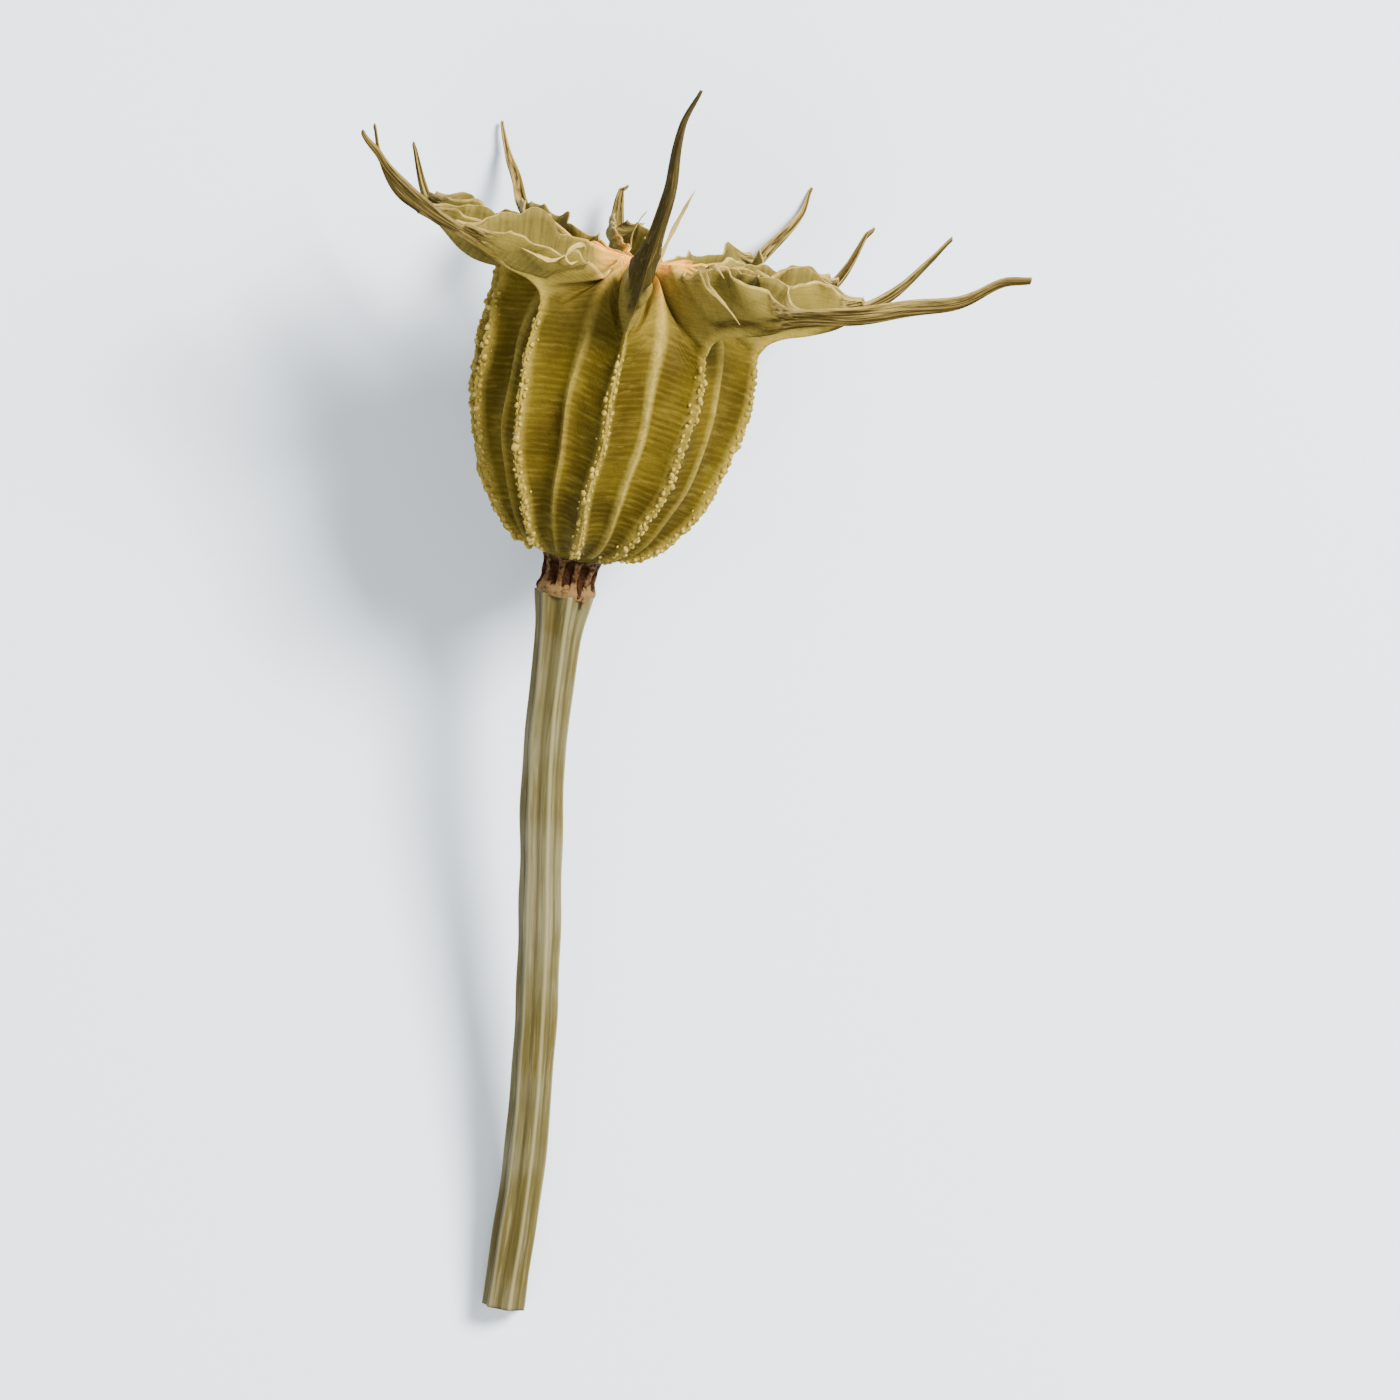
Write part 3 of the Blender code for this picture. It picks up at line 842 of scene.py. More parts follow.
        # Painted shade, deepest in the middle of each panel between keel and seam and fading where the
        # panel turns up.
        valley_shade = hump[None] * (1 - 0.8 * turned[:, None]) * smooth_step(share, 0.0, 0.1)[:, None]
        bruise = bell(np.linalg.norm(points - self.bruise_place, axis=-1), self.bruise_size)
        tones = np.stack([valley_shade, 0 * hub, bruise], axis=-1)
        chart = np.stack([side.value * from_keel + self.chart_step * index, along], axis=-1)
        patch = Patch(points, zones, marks, tones, chart, flipped=side is Side.LEFT)
        patch.extend(before=np.zeros((1, len(across), 3)), after=points[:0])
        return patch

    def wing_lines(self, index: int, side: Side) -> WingLines:
        """The lines of half a follicle's free part.

        Waves raise and spread the lip, and a fallen lip sinks and leans out. Crinkles are
        sums of sine noise along the lip, and the beak curls by slow sines of the distance.
        """
        follicle, sign = FOLLICLES[index], side.value
        share = np.linspace(0, 1, self.wing_rows + 1)
        keel_out, keel_up = self.fitted(follicle, smooth_line(self.keel_wing, share))
        keel_up = keel_up + follicle.shoulder * (1 - smooth_step(keel_out, 10.0, follicle.reach - 1.0))
        out, up = self.fitted(follicle, smooth_line(self.lip_wing, share))
        beak = smooth_step(out, 11.0, 14.5)
        rooted = smooth_step(share, 0.0, 0.08)
        spread, depth = smooth_line(np.column_stack([self.lip_spread, self.trough_depth]), share).T
        slim = smooth_step(out, 0.9, 3.0) * (1 - smooth_step(out, 9.0, 13.0))
        spread = spread * (1 + (follicle.girth - 1) * slim)
        above_hub = np.maximum(up - self.hub_height, 0) * (1 - smooth_step(out, 10.0, 13.6))
        raised = 0.6 * follicle.shoulder * beak * (1 - smooth_step(out, 10.0, follicle.reach - 1.0))
        up = up - (1 - follicle.rise) * above_hub + raised
        waved = smooth_step(out, 2.0, 5.0) * (1 - smooth_step(out, 11.0, 13.5))
        phase = 2.4 * index + 1.3 * sign
        wave_up = self.wave_height * waved * np.sin(TURN * out / 4.3 + phase)
        wave_side = self.wave_spread * waved * np.sin(TURN * out / 3.7 + 1.7 * phase)
        slack_part = smooth_step(out, 1.6, 5.4) * (1 - smooth_step(out, 10.0, 13.5))
        fallen = max(sign * follicle.fall, 0) * slack_part
        lip_side = spread + follicle.girth * wave_side + 0.35 * fallen
        edge_up = up + wave_up - fallen

        lip = self.in_pod(follicle, out, edge_up, sign * lip_side)
        seam_out, seam_up = self.seam_body[-1]
        lip[0] = seam_out * outward(self.seam_azimuth(self.seam_number(index, side))) + seam_up * UP
        wall_width = self.lip_wall * (1 - 0.55 * beak)
        inner = self.in_pod(follicle, out, edge_up - 0.03,
                            sign * np.maximum(lip_side - wall_width, 0.3 * spread))
        top = 0.5 * (lip + inner) + 0.05 * (rooted * (1 - beak))[:, None] * UP
        floor = self.in_pod(follicle, out, up - depth - 0.7 * abs(follicle.fall) * slack_part, 0 * out)
        keel = self.in_pod(follicle, keel_out, keel_up, 0 * keel_out)

        across_way = sideward(follicle.angle)
        strength = waved * self.crinkle * (0.3 + 0.7 * follicle.girth)
        aside = 1.2 * ripple(lip, 2.3, 41 + index) + 0.55 * ripple(lip, 1.0, 71 + index)
        above = 0.8 * ripple(lip, 1.9, 101 + index) + 0.35 * ripple(lip, 0.9, 131 + index)
        shift = (strength * aside)[:, None] * sign * across_way + (strength * above)[:, None] * UP
        loose = smooth_step(share, 0.60, 1.0)
        drift = (0.25 * loose * np.sin(0.9 * out + 1.7 * index))[:, None] * across_way
        drift = drift + (0.20 * loose * np.sin(1.3 * out + 2.0 * index))[:, None] * UP
        hooked = (-1) ** index * 0.45 * smooth_step(share, 0.93, 1.0)
        drift = drift + hooked[:, None] * 0.7 * (across_way + UP)
        bulge = self.wall_bulge * (1 - 0.85 * smooth_step(keel_out, 9.0, 13.0)) + 0.03 * rooted
        bulge = bulge * (1 - 0.6 * smooth_step(share, 0.7, 1.0))
        return WingLines(index, side, share, out, keel_out, beak, rooted, bulge, lip_side, depth,
                         keel, lip, top, inner, floor, shift, drift)

    def lip_along(self, lines: WingLines) -> Array:
        """The chart's place along the lip, which goes on from the seam's."""
        seam_length = travelled(smooth_line(self.seam_body, np.linspace(0, 1, 200)))[-1]
        return seam_length + travelled(lines.lip)

    def outer_wall(self, lines: WingLines) -> Patch:
        """A straight line from keel to lip that bulges sideways, with fine ribs and a groove.

        The crinkles fade from the lip towards the keel with the power 2.5 of the share.
        """
        share, out, keel_out = lines.share, lines.out, lines.keel_out
        across = self.wall_shares()
        hump = 4 * across * (1 - across)
        wall = at_shares(lines.keel, lines.lip, across)
        width = np.linalg.norm(lines.lip - lines.keel, axis=-1)
        from_keel = width[:, None] * across[None]
        body_length = travelled(self.keel_line(lines.index, np.linspace(0, 1, 60))[0])[-1]
        keel_along = body_length + travelled(lines.keel)
        along = keel_along[:, None] * (1 - across) + self.lip_along(lines)[:, None] * across
        ribbed = smooth_step(share, 0.06, 0.25) * (1 - lines.beak)
        bars = 0.8 * self.bars(wall, along) * ribbed[:, None] * hump
        bars = bars + 0.10 * ripple(wall, 2.4, 19) * hump * ((1 - lines.beak) * lines.rooted)[:, None]
        freed = smooth_step(keel_out, 8.7, 9.7) * (1 - smooth_step(keel_out, 15.0, 18.0))
        groove = bell(from_keel - self.groove_place, self.groove_width) * freed[:, None] * (across > 0)
        relief = lines.bulge[:, None] * hump + bars - self.groove_depth * groove
        wall = wall + relief[..., None] * lines.sideways
        wall = wall + (across ** 2.5)[None, :, None] * lines.shift[:, None]
        keel_mark = bell(from_keel, self.crest_width * (1 - 0.5 * lines.beak)[:, None])
        crest = self.crest * (1 - 0.85 * lines.beak)
        keel_way = unit(np.cross(sideward(lines.follicle.angle), np.gradient(lines.keel, axis=0)))
        wall = wall + (crest[:, None] * keel_mark)[..., None] * keel_way[:, None]

        # Painted shade under the wing's keel and in the groove beside it; an upright beak also gets its
        # own dark colour from its foot.
        underside_shade_and_dusk = 0.85 * smooth_step(out, 8.8, 11.8)[:, None] * bell(from_keel, 0.55)
        underside_shade_and_dusk = np.maximum(underside_shade_and_dusk, 0.95 * groove)
        keel_paint = keel_mark * (1 - smooth_step(out, 8.4, 10.4))[:, None]
        if lines.follicle.upright:
            local = at_shares(keel_out[:, None], out[:, None], across)[..., 0]
            underside_shade_and_dusk = np.maximum(underside_shade_and_dusk, lines.follicle.dusk * smooth_step(local, 8.3, 10.9))
            keel_paint = keel_paint * (1 - 0.8 * smooth_step(share, 0.0, 0.10))[:, None]
        pale_width = 0.10 + 0.10 * lines.rooted + 0.55 * (1 - smooth_step(out, 3.0, 8.5))
        near_lip = bell(width[:, None] * (1 - across)[None], pale_width[:, None])
        near_lip = np.maximum(near_lip, 0.15 * lines.rooted[:, None])
        chart = np.stack([lines.side.value * from_keel + self.chart_step * lines.index, along], axis=-1)
        return self.dressed(lines, wall, near_lip, keel_paint, 0.0, underside_shade_and_dusk, chart)

    def inner_wall(self, lines: WingLines, outer: Patch) -> Patch:
        """The lip's top and the trough's wall, a line from the lip's inner side to the floor.

        Its first column is the outer wall's last one, so that the two meet.
        """
        share = np.linspace(1, 0, self.trough_columns + 1)
        trough = at_shares(lines.floor, lines.inner, share)
        slack = 0.55 * np.minimum(lines.bulge, 0.5 * lines.spread)
        hollow = 4 * share * (1 - share)
        trough = trough + (slack[:, None] * hollow[None])[..., None] * lines.sideways
        trough = trough + (share ** 2.5)[None, :, None] * lines.shift[:, None]
        lip = lines.lip + lines.shift
        inside = np.concatenate([lip[:, None], (lines.top + lines.shift)[:, None], trough], axis=1)
        below = np.concatenate([[0.0, 0.05], 1.1 - share]) * np.maximum(lines.depth, 0.4)[:, None]
        place = lines.side.value * (below + 0.5 * self.chart_step) + self.chart_step * lines.index
        chart = np.stack([place, self.lip_along(lines)[:, None] + 0 * below], axis=-1)
        patch = self.dressed(lines, inside, bell(below, 0.2), 0 * below, 1.0, 0 * below, chart)
        patch.points[:, 0] = outer.points[:, -1]
        return patch

    def dressed(self, lines: WingLines, points: Array, rim: Array, keels: Array, inner_mark: float,
                shaded: Array, chart: Array) -> Patch:
        """A patch of the wing with its zones, marks and tones.

        Args:
            lines: The wing's lines.
            points: The patch's points, before the beak's drift.
            rim: How near each point is to the lip.
            keels: How near each point is to the keel.
            inner_mark: 1 inside the trough and 0 outside it.
            shaded: How dark it is under the wing as painted shade, and on an upright beak in its own dark
                colour.
            chart: The chart of the points.
        """
        hub = self.hub_mark(points)
        zones = np.stack([rim, lines.beak[:, None] + 0 * hub, hub], axis=-1)
        marks = np.stack([keels, 0 * hub, np.full_like(hub, inner_mark) * lines.rooted[:, None]], axis=-1)
        limits = (8.5, 11.5) if lines.follicle.upright else (10.0, 14.0)
        dark = lines.follicle.dusk * smooth_step(lines.out, *limits)
        tones = np.stack([0 * hub, np.maximum(dark[:, None], shaded) + 0 * hub, 0 * hub], axis=-1)
        return Patch(points + lines.drift[:, None], zones, marks, tones, chart,
                     flipped=lines.side is Side.LEFT)

    def wing_patches(self, index: int, side: Side) -> tuple[Patch, Patch]:
        """Both walls of half a wing: the trough runs in to the hub's middle, the beak to a point."""
        lines = self.wing_lines(index, side)
        outer = self.outer_wall(lines)
        inner = self.inner_wall(lines, outer)
        tip = 0.5 * (outer.points[-1, 0] + inner.points[-1, -1])
        for patch in (outer, inner):
            patch.extend(before=patch.points[:0], after=np.tile(tip, (1, patch.points.shape[1], 1)))
        way = np.linspace(0, 1, self.hub_rows + 1)[:-1, None, None]
        to_hub = self.hub_height * UP * (1 - way) + inner.points[:1] * way
        inner.extend(before=to_hub, after=inner.points[:0])
        inner.zones[:self.hub_rows, :, 2] = 1.0
        return outer, inner

    def join(self, body: Patch, outer: Patch) -> None:
        """Move the first rows of a wing's outer wall so that it starts where the body ends."""
        gap = body.points[-1] - outer.points[0]
        share = np.arange(len(outer.points)) / self.joint_rows
        outer.points = outer.points + gap[None] * (1 - smooth_step(share, 0.0, 1.0))[:, None, None]

    def build(self) -> bpy.types.Object:
        """The whole capsule as one closed welded mesh."""
        surface = Surface("pod_skin")
        for index in range(len(FOLLICLES)):
            for side in Side:
                body = self.body_patch(index, side)
                outer, inner = self.wing_patches(index, side)
                self.join(body, outer)
                surface.add(body, outer, inner)
        return surface.build()


@dataclass
class Warts:
    """Pale warts in an uneven double row on every keel, with a few astray beside it.

    Bare is the length without warts at both ends of a keel, and proud is how far a wart's
    centre stands above the skin, as a share of its size.
    """

    capsule: Capsule
    bare: float = 0.9
    step: float = 0.22
    row_gap: float = 0.18
    astray: float = 0.08
    smallest: float = 0.065
    largest: float = 0.225
    lumpy: float = 0.16
    proud: float = 0.25
    settlings: int = 3
    weld: float = 0.0002
    rings: int = 5
    sides: int = 7
    seed: int = 23

    def settled(self, tree: BVHTree, centre: Array, normal: Array, size: Array) -> Array:
        """Centres moved along their normals until they stand a share of their size above the skin.

        Args:
            tree: The laid-down skin, for finding its nearest point.
            centre: The centres, in the pod's frame.
            normal: The way out of the keel at each centre.
            size: Each wart's radius.

        Returns:
            The moved centres, in the pod's frame.
        """
        placed = LIE.place(centre)
        found = [tree.find_nearest(point) for point in placed]
        near = np.array([hit[0] for hit in found])
        facing = np.array([hit[1] for hit in found])
        above = np.sum((placed - near) * facing, axis=-1) / MM
        return centre - (above - self.proud * size)[:, None] * normal

    def ball(self) -> Array:
        """A ball's latitude and longitude grid, with all of its first and last rows at a pole."""
        latitude = np.linspace(-math.pi / 2, math.pi / 2, self.rings + 1)[:, None]
        longitude = np.linspace(0, TURN, self.sides + 1)[None, :-1]
        return np.stack([np.cos(latitude) * np.cos(longitude), np.cos(latitude) * np.sin(longitude),
                         np.sin(latitude) + 0 * longitude], axis=-1)

    def on_keel(self, index: int, draw: np.random.Generator, tree: BVHTree) -> Array:
        """The warts of one keel, as a grid of points for each.

        Args:
            index: Which follicle.
            draw: Draws the places, the sizes, the tilts and the lumps.
            tree: The laid-down skin, which the warts are sunk into.

        Returns:
            Points with the axes wart, ring and side, in the pod's frame.
        """
        keel, out = self.capsule.keel_line(index, np.linspace(0, 1, 400))
        length = travelled(keel)
        across = sideward(FOLLICLES[index].angle)
        spots = np.arange(self.bare, length[-1] - self.bare, self.step)
        count = len(spots)
        spots = spots + draw.uniform(-0.5, 0.5, count) * self.step
        row = np.where(np.arange(count) % 2, 1.0, -1.0)
        aside = row * self.row_gap * draw.uniform(0.3, 1.25, count)
        stray = draw.random(count) < self.astray
        aside = np.where(stray, row * draw.uniform(0.45, 0.75, count), aside)
        centre, normal = (np.stack([np.interp(spots, length, line[:, k]) for k in range(3)], axis=-1)
                          for line in (keel, out))
        centre = centre + aside[:, None] * across
        normal = unit(unit(normal) + 1.6 * aside[:, None] * across)
        size = self.smallest + (self.largest - self.smallest) * draw.beta(1.3, 2.3, count)
        size = np.where(stray, 0.55 * size, size)
        for _ in range(self.settlings):
            centre = self.settled(tree, centre, normal, size)
        stretch = [draw.uniform(low, high, count) for low, high in ((0.9, 1.6), (0.75, 1.1), (0.75, 1.3))]
        radii = size[:, None] * np.stack(stretch, axis=-1)
        tipped = unit(normal + draw.normal(0, 0.3, normal.shape))
        beside = unit(np.cross(tipped, unit(np.cross(normal, across))))
        frames = np.stack([np.cross(beside, tipped), beside, tipped], axis=1)
        blobs = np.einsum("ijk,wk,wkl->wijl", self.ball(), radii, frames)
        lumps = 1 + self.lumpy * draw.normal(0, 1, blobs.shape[:3])
        lumps[:, [0, -1]] = lumps[:, [0, -1], :1]
        return blobs * np.clip(lumps, 0.6, 1.4)[..., None] + centre[:, None, None]

    def build(self, skin: bpy.types.Object) -> bpy.types.Object:
        """All warts as one mesh: each is a squashed ball, part sunk in its keel.

        A ball is the usual latitude and longitude grid with welded poles, scaled by the
        wart's three radii along, across and out of the keel and made lumpy point by point.

        Args:
            skin: The capsule's skin, which the warts stand on.
        """
        surface = bmesh.new()
        surface.from_mesh(skin.data)
        tree = BVHTree.FromBMesh(surface)
        surface.free()
        draw = np.random.default_rng(self.seed)
        warts = np.concatenate([self.on_keel(index, draw, tree) for index in range(len(FOLLICLES))])
        number = np.arange(warts[..., 0].size).reshape(warts.shape[:3])
        right = np.roll(number, -1, axis=2)
        quads = np.stack([number[:, :-1], right[:, :-1], right[:, 1:], number[:, 1:]], axis=-1)
        mesh = mesh_from("keel_warts", LIE.place(warts.reshape(-1, 3)), quads.reshape(-1, 4))
        surface = bmesh.new()
        surface.from_mesh(mesh)
        bmesh.ops.remove_doubles(surface, verts=surface.verts, dist=self.weld * MM)
        surface.to_mesh(mesh)
        surface.free()
        return linked("keel_warts", mesh)


@dataclass
class Shreds:
    """Torn margins: thin dry ribbons that curl away from the lips and stand at the hub.

    A strip is the number of its follicle, its route in that follicle's plane and across it,
    its width and its side: 1 or -1 turns its flat face sideways, and 0 turns it outwards.
    """

    capsule: Capsule
    thickness: float = 0.05
    rows: int = 60
    sides: int = 10
    strips: tuple = (
        (1, ((8.6, 19.35, -1.62), (9.1, 19.0, -1.86), (9.4, 18.4, -1.82), (10.0, 17.9, -1.50),
             (10.6, 17.3, -1.12), (11.1, 16.7, -0.8)), 0.26, -1),
        (1, ((7.9, 19.3, -1.55), (8.6, 18.9, -1.80), (9.2, 18.4, -1.85), (9.5, 18.2, -1.80)), 0.20, -1),
        (1, ((8.9, 19.3, -1.70), (9.3, 19.7, -1.9), (9.9, 19.6, -2.0), (10.3, 19.2, -1.85)), 0.24, -1),
        (9, ((7.6, 18.9, 1.62), (8.2, 19.2, 1.95), (9.0, 19.0, 2.15), (9.3, 18.4, 2.1),
             (8.8, 18.0, 1.95), (8.2, 18.2, 1.85)), 0.28, 1),
        (9, ((9.3, 18.5, 2.1), (9.9, 18.0, 1.9), (10.6, 18.1, 1.7), (11.3, 18.3, 1.25)), 0.24, 1),
        (0, ((9.0, 17.5, 0.35), (11.5, 18.5, 0.65), (14.5, 19.4, 1.0), (17.2, 19.8, 1.45)), 0.32, 0),
        (5, ((1.6, 18.5, 0.5), (1.9, 19.3, 0.55), (2.0, 20.2, 0.3), (1.5, 20.9, 0.0)), 0.5, 1),
    )

    def ribbon(self, route: Array, width: float, face: Array) -> Patch:
        """A flat ribbon along a route: an ellipse of that width carried along the line.

        Args:
            route: Points along the middle, in the pod's frame.
            width: The ribbon's width at its middle, narrower at its ends.
            face: The way that its flat side looks.

        Returns:
            The ribbon as a closed patch.
        """
        share = np.linspace(0, 1, self.rows + 1)
        line = smooth_line(route, share)
        ahead = unit(np.gradient(line, axis=0))
        beside = unit(np.cross(ahead, face))
        over = np.cross(beside, ahead)
        turn = np.linspace(0, TURN, self.sides + 1)
        half = 0.5 * width * (0.12 + 0.88 * np.sin(math.pi * share ** 0.8) ** 0.9)
        half = half * (1 + 0.25 * np.sin(9 * share + width * 40) + 0.15 * np.sin(31 * share))
        half[[0, -1]] = 0
        thick = np.full_like(half, 0.5 * self.thickness)
        thick[[0, -1]] = 0
        points = (line[:, None] + (half[:, None] * np.cos(turn))[..., None] * beside[:, None]
                  + (thick[:, None] * np.sin(turn))[..., None] * over[:, None])
        flat = np.zeros(points.shape)
        zones = flat + np.array([1.0, 0.0, 0.0])
        chart = np.stack(np.broadcast_arrays(0.1 * turn[None], 4 * share[:, None]), axis=-1)
        return Patch(points, zones, flat, flat, chart, flipped=True)

    def build(self) -> bpy.types.Object:
        """All the strips as one mesh."""
        surface = Surface("torn_margins")
        for index, route, width, side in self.strips:
            follicle = FOLLICLES[index]
            out, up, across = np.array(route).T
            face = side * sideward(follicle.angle) + 0.3 * UP if side else outward(follicle.angle)
            surface.add(self.ribbon(self.capsule.in_pod(follicle, out, up, across), width, face))
        return surface.build()


@dataclass
class Receptacle:
    """The short neck under the capsule: scars between ribs, a collar and dry flaps.

    A flap is its azimuth in degrees, its length, its width and how pale it is.
    """

    top: float = 0.12
    bottom: float = -2.45
    radii: tuple = (1.95, 1.78, 1.66, 1.60, 1.62, 1.72, 1.82, 1.70)
    ribs: int = 10
    scar_depth: float = 0.34
    rows: int = 44
    columns: int = 200
    flaps: tuple = ((44, 1.1, 0.35, 0.9), (30, 0.5, 0.3, 0.3), (-38, 0.4, 0.35, 0.8), (2, 0.3, 0.5, 0.8),
                    (128, 0.7, 0.4, 0.3), (215, 0.9, 0.4, 0.8), (290, 0.5, 0.3, 0.3))

    def build(self) -> bpy.types.Object:
        """The neck and its flaps, as closed surfaces of one mesh."""
        surface = Surface("receptacle_neck")
        surface.add(self.neck())
        shreds = Shreds(Capsule(), thickness=0.08, rows=30)
        for azimuth, length, width, paleness in self.flaps:
            away = outward(math.radians(azimuth))
            route = np.array([out * away - down * UP for out, down in (
                (1.5, 1.6), (1.75, 1.85), (1.85, 1.85 + 0.5 * length), (1.7, 1.85 + length))])
            flap = shreds.ribbon(route, width, away)
            flap.marks = flap.marks + np.array([paleness, 0.0, 0.0])
            surface.add(flap)
        return surface.build()

    def neck(self) -> Patch:
        """A turned shape whose radius dips between ribs, deepest halfway up.

        The radius is a smooth curve of the height, less the scar depth times a power of the
        cosine around, times a hump of the height, plus a little noise.
        """
        share = np.linspace(0, 1, self.rows + 1)
        turn = np.linspace(0, TURN, self.columns + 1)
        radius = smooth_line(np.array(self.radii)[:, None], share)[:, 0]
        hump = smooth_step(share, 0.08, 0.28) * (1 - smooth_step(share, 0.62, 0.80))
        between = 0.5 + 0.5 * np.cos(self.ribs * turn + 0.4 * np.sin(3 * turn))
        scar = smooth_step(between, 0.22, 0.62)[None] * hump[:, None]
        height = self.top + (self.bottom - self.top) * share
        ring = np.stack([np.sin(turn), -np.cos(turn)], axis=-1)
        radii = radius[:, None] - self.scar_depth * scar
        points = np.concatenate([radii[..., None] * ring[None],
                                 np.repeat(height[:, None, None], len(turn), axis=1)], axis=-1)
        away = np.concatenate([ring, np.zeros((len(turn), 1))], axis=-1)[None]
        lively = np.sin(math.pi * share)[:, None]
        points = points + (0.06 * lively * ripple(points, 0.9, 3))[..., None] * away
        points[:, -1] = points[:, 0]
        caps = [np.tile(level * UP, (1, len(turn), 1)) for level in (self.top, self.bottom)]
        points = np.concatenate([caps[0], points, caps[1]])
        rib = np.clip(1 - 1.3 * scar, 0, 1)
        rib = rib * (0.55 + 0.45 * smooth_step(share, 0.5, 0.8))[:, None]
        rib = np.concatenate([rib[:1], rib, rib[-1:]])
        marks = np.stack([rib, 0 * rib, 0 * rib], axis=-1)
        along = 0.06 * np.arange(len(points))[:, None]
        chart = np.stack(np.broadcast_arrays(turn[None] * 1.7, along), axis=-1)
        return Patch(points, 0 * marks, marks, 0 * marks, chart, flipped=True)


@dataclass
class Stem:
    """The fluted stem, from the collar to its cut end."""

    route: tuple = ((0.0, -2.3), (0.25, -5.5), (1.0, -12.6), (3.4, -25.6), (4.9, -36.0), (5.6, -45.5))
    radii: tuple = (1.66, 1.32, 1.22, 1.2, 1.2, 1.24)
    flutes: int = 7
    flute_depth: float = 0.07
    rows: int = 230
    columns: int = 126
    seed: int = 7

    def build(self) -> bpy.types.Object:
        """A rod along the route whose radius follows rounded flutes with sharp crests.

        The radius is the smooth radius times 1 plus the flute depth times the cosine of the
        flutes around, with the flutes slowly turning along the stem and a little noise.
        """
        share = np.linspace(0, 1, self.rows + 1)
        line = smooth_line(np.column_stack([self.route, self.radii]), share)
        centre = np.stack([line[:, 0], 0 * share, line[:, 1]], axis=-1)
        ahead = unit(np.gradient(centre, axis=0))
        over = np.array([0.0, 1.0, 0.0])
        beside = unit(np.cross(over, ahead))
        turn = np.linspace(0, TURN, self.columns + 1)
        length = travelled(centre)
        twist = 0.9 * np.sin(length / 17.0)[:, None]
        wave = self.flutes * turn[None] + twist + 0.35 * np.sin(2 * turn)[None]
        flute = np.cos(wave)
        crest = np.clip(flute, 0, 1) ** 3
        factor = 1 + self.flute_depth * flute + 0.03 * crest
        radius = line[:, 2][:, None] * factor
        points = (centre[:, None] + (radius * np.cos(turn))[..., None] * beside[:, None]
                  + (radius * np.sin(turn))[..., None] * over)
        away = unit(points - centre[:, None])
        rough = 0.035 * ripple(points * np.array([1, 1, 0.16]), 0.8, self.seed)
        rough = rough + 0.03 * ripple(points, 5.0, 9)
        points = points + rough[..., None] * away
        points[:, -1] = points[:, 0]
        end = np.array([0.86, 0.72, 0.45, 0.0])[:, None, None]
        sink = np.array([0.02, 0.22, 0.35, 0.30])[:, None, None]
        cut = centre[-1] + (points[-1] - centre[-1])[None] * end - sink * ahead[-1]
        top = centre[:1, None] + 0 * points[:1]
        marks = np.stack([crest, np.clip(-flute, 0, 1) ** 2, 0 * flute], axis=-1)
        pale = np.tile([0.0, 0.0, 1.0], (len(end), len(turn), 1))
        marks = np.concatenate([marks[:1], marks, pale])
        points = np.concatenate([top, points, cut])
        along = np.concatenate([length[:1], length, length[-1] + np.arange(1, len(end) + 1) * 0.3])
        chart = np.stack(np.broadcast_arrays(turn[None] * 1.24, along[:, None]), axis=-1)
        surface = Surface("fluted_stem")
        surface.add(Patch(points, 0 * marks, marks, 0 * marks, chart, flipped=False))
        return surface.build()


@dataclass(frozen=True)
class Lamp:
    """A soft rectangular light that looks at the pod, sizes in metres and power in watts."""

    name: str
    place: tuple[float, float, float]
    size: float
    power: float
    tint: Colour = (1.0, 1.0, 1.0)

    def build(self, target: Vector) -> None:
        """Put the light in the scene."""
        data = bpy.data.lights.new(self.name, "AREA")
        data.energy, data.size, data.color = self.power, self.size, self.tint
        lamp = bpy.data.objects.new(self.name, data)
        lamp.location = self.place
        lamp.rotation_euler = (target - Vector(self.place)).to_track_quat("-Z", "Y").to_euler()
        bpy.context.scene.collection.objects.link(lamp)


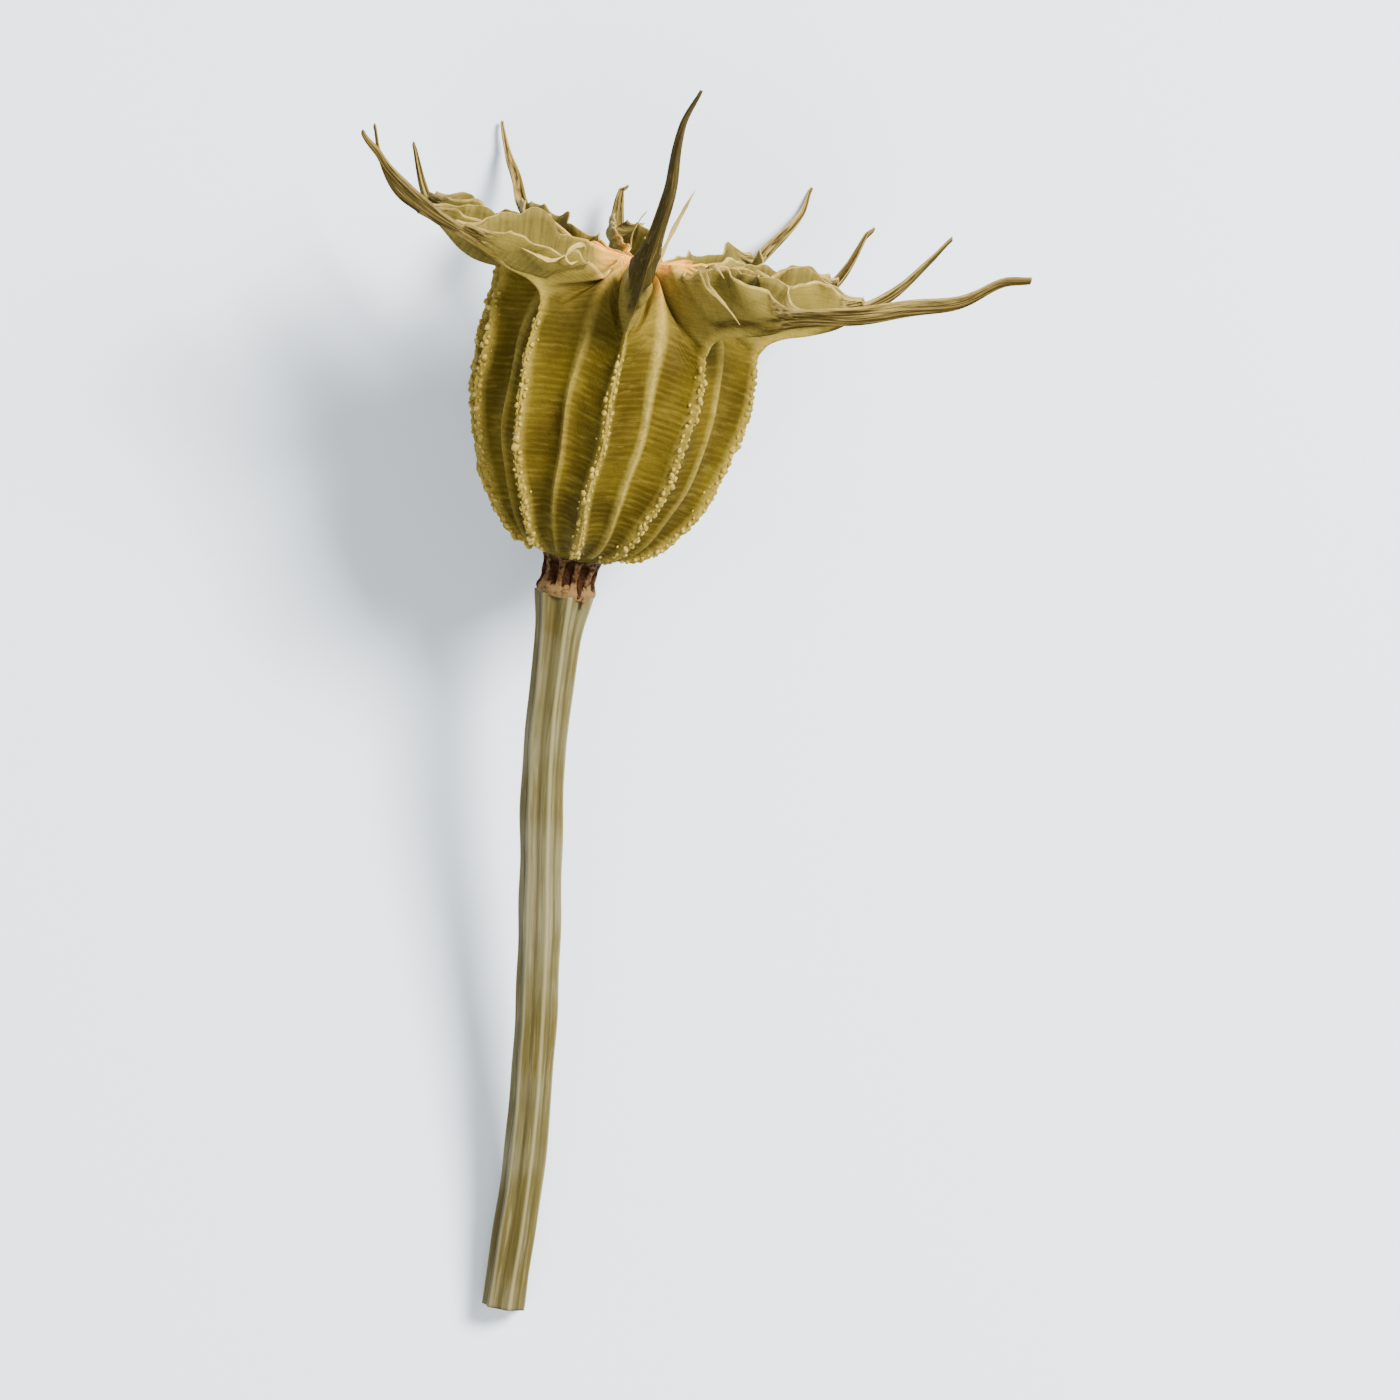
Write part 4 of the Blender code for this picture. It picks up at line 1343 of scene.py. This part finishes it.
@dataclass
class Studio:
    """The table, the lights and the camera."""

    table_size: float = 1.6
    table_drop: float = 0.00002
    room_tint: Colour = (0.94, 0.97, 1.0)
    room_light: float = 0.7
    camera_distance: float = 0.62
    camera_elevation: float = 86.0
    frame_height: float = 0.083
    sensor: float = 36.0
    aim: tuple[float, float, float] = (0.0, 0.0, 0.013)
    lamps: tuple[Lamp, ...] = (
        Lamp("key_light", (0.40, 0.22, 0.56), 0.24, 17.0, (1.0, 0.985, 0.95)),
        Lamp("fill_light", (-0.10, -0.40, 0.60), 0.5, 2.6, (0.97, 0.985, 1.0)),
    )

    def build(self) -> None:
        """Make the stage."""
        ring = np.array([(-1, -1, 0), (1, -1, 0), (1, 1, 0), (-1, 1, 0)])
        corners = ring * self.table_size / 2 - self.table_drop * UP
        table = linked("table", mesh_from("table", corners, np.array([[0, 1, 2, 3]])))
        table.data.materials.append(TableFinish().build())
        target = Vector(self.aim)
        for lamp in self.lamps:
            lamp.build(target)
        world = bpy.data.worlds.new("room")
        world.use_nodes = True
        background = world.node_tree.nodes["Background"]
        background.inputs["Color"].default_value = (*self.room_tint, 1.0)
        background.inputs["Strength"].default_value = self.room_light
        bpy.context.scene.world = world
        data = bpy.data.cameras.new("camera")
        data.sensor_width = self.sensor
        data.lens = self.sensor * self.camera_distance / self.frame_height
        camera = bpy.data.objects.new("camera", data)
        angle = math.radians(self.camera_elevation)
        away = Vector((0.0, -math.cos(angle), math.sin(angle)))
        camera.location = target + away * self.camera_distance
        camera.rotation_euler = (-away).to_track_quat("-Z", "Y").to_euler()
        bpy.context.scene.collection.objects.link(camera)
        bpy.context.scene.camera = camera


def dress(piece: bpy.types.Object, material: bpy.types.Material,
          nodes: Sequence[str] = ()) -> None:
    """Give a piece its finish and its body, and hide the frame's nodes that it stands for.

    Args:
        piece: The new piece.
        material: Its finish.
        nodes: The frame's nodes that it stands for.
    """
    piece.data.materials.append(material)
    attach(piece, BODY)
    if nodes:
        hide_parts(*nodes)
    mesh = piece.data
    LOG.info("%s: %d vertices, %d faces", piece.name, len(mesh.vertices), len(mesh.polygons))


def main() -> None:
    """Build the pod around the frame and set the stage."""
    logging.basicConfig(level=logging.INFO, format="%(message)s")
    capsule = Capsule()
    skin = SkinFinish().build()
    body = capsule.build()
    dress(body, skin, ["capsule"])
    dress(Warts(capsule).build(body), WartFinish().build())
    dress(Shreds(capsule).build(), skin)
    dress(Receptacle().build(), ScarFinish().build(), ["receptacle"])
    dress(Stem().build(), StemFinish().build(), ["stem"])
    Studio().build()


if __name__ == "__main__":
    main()
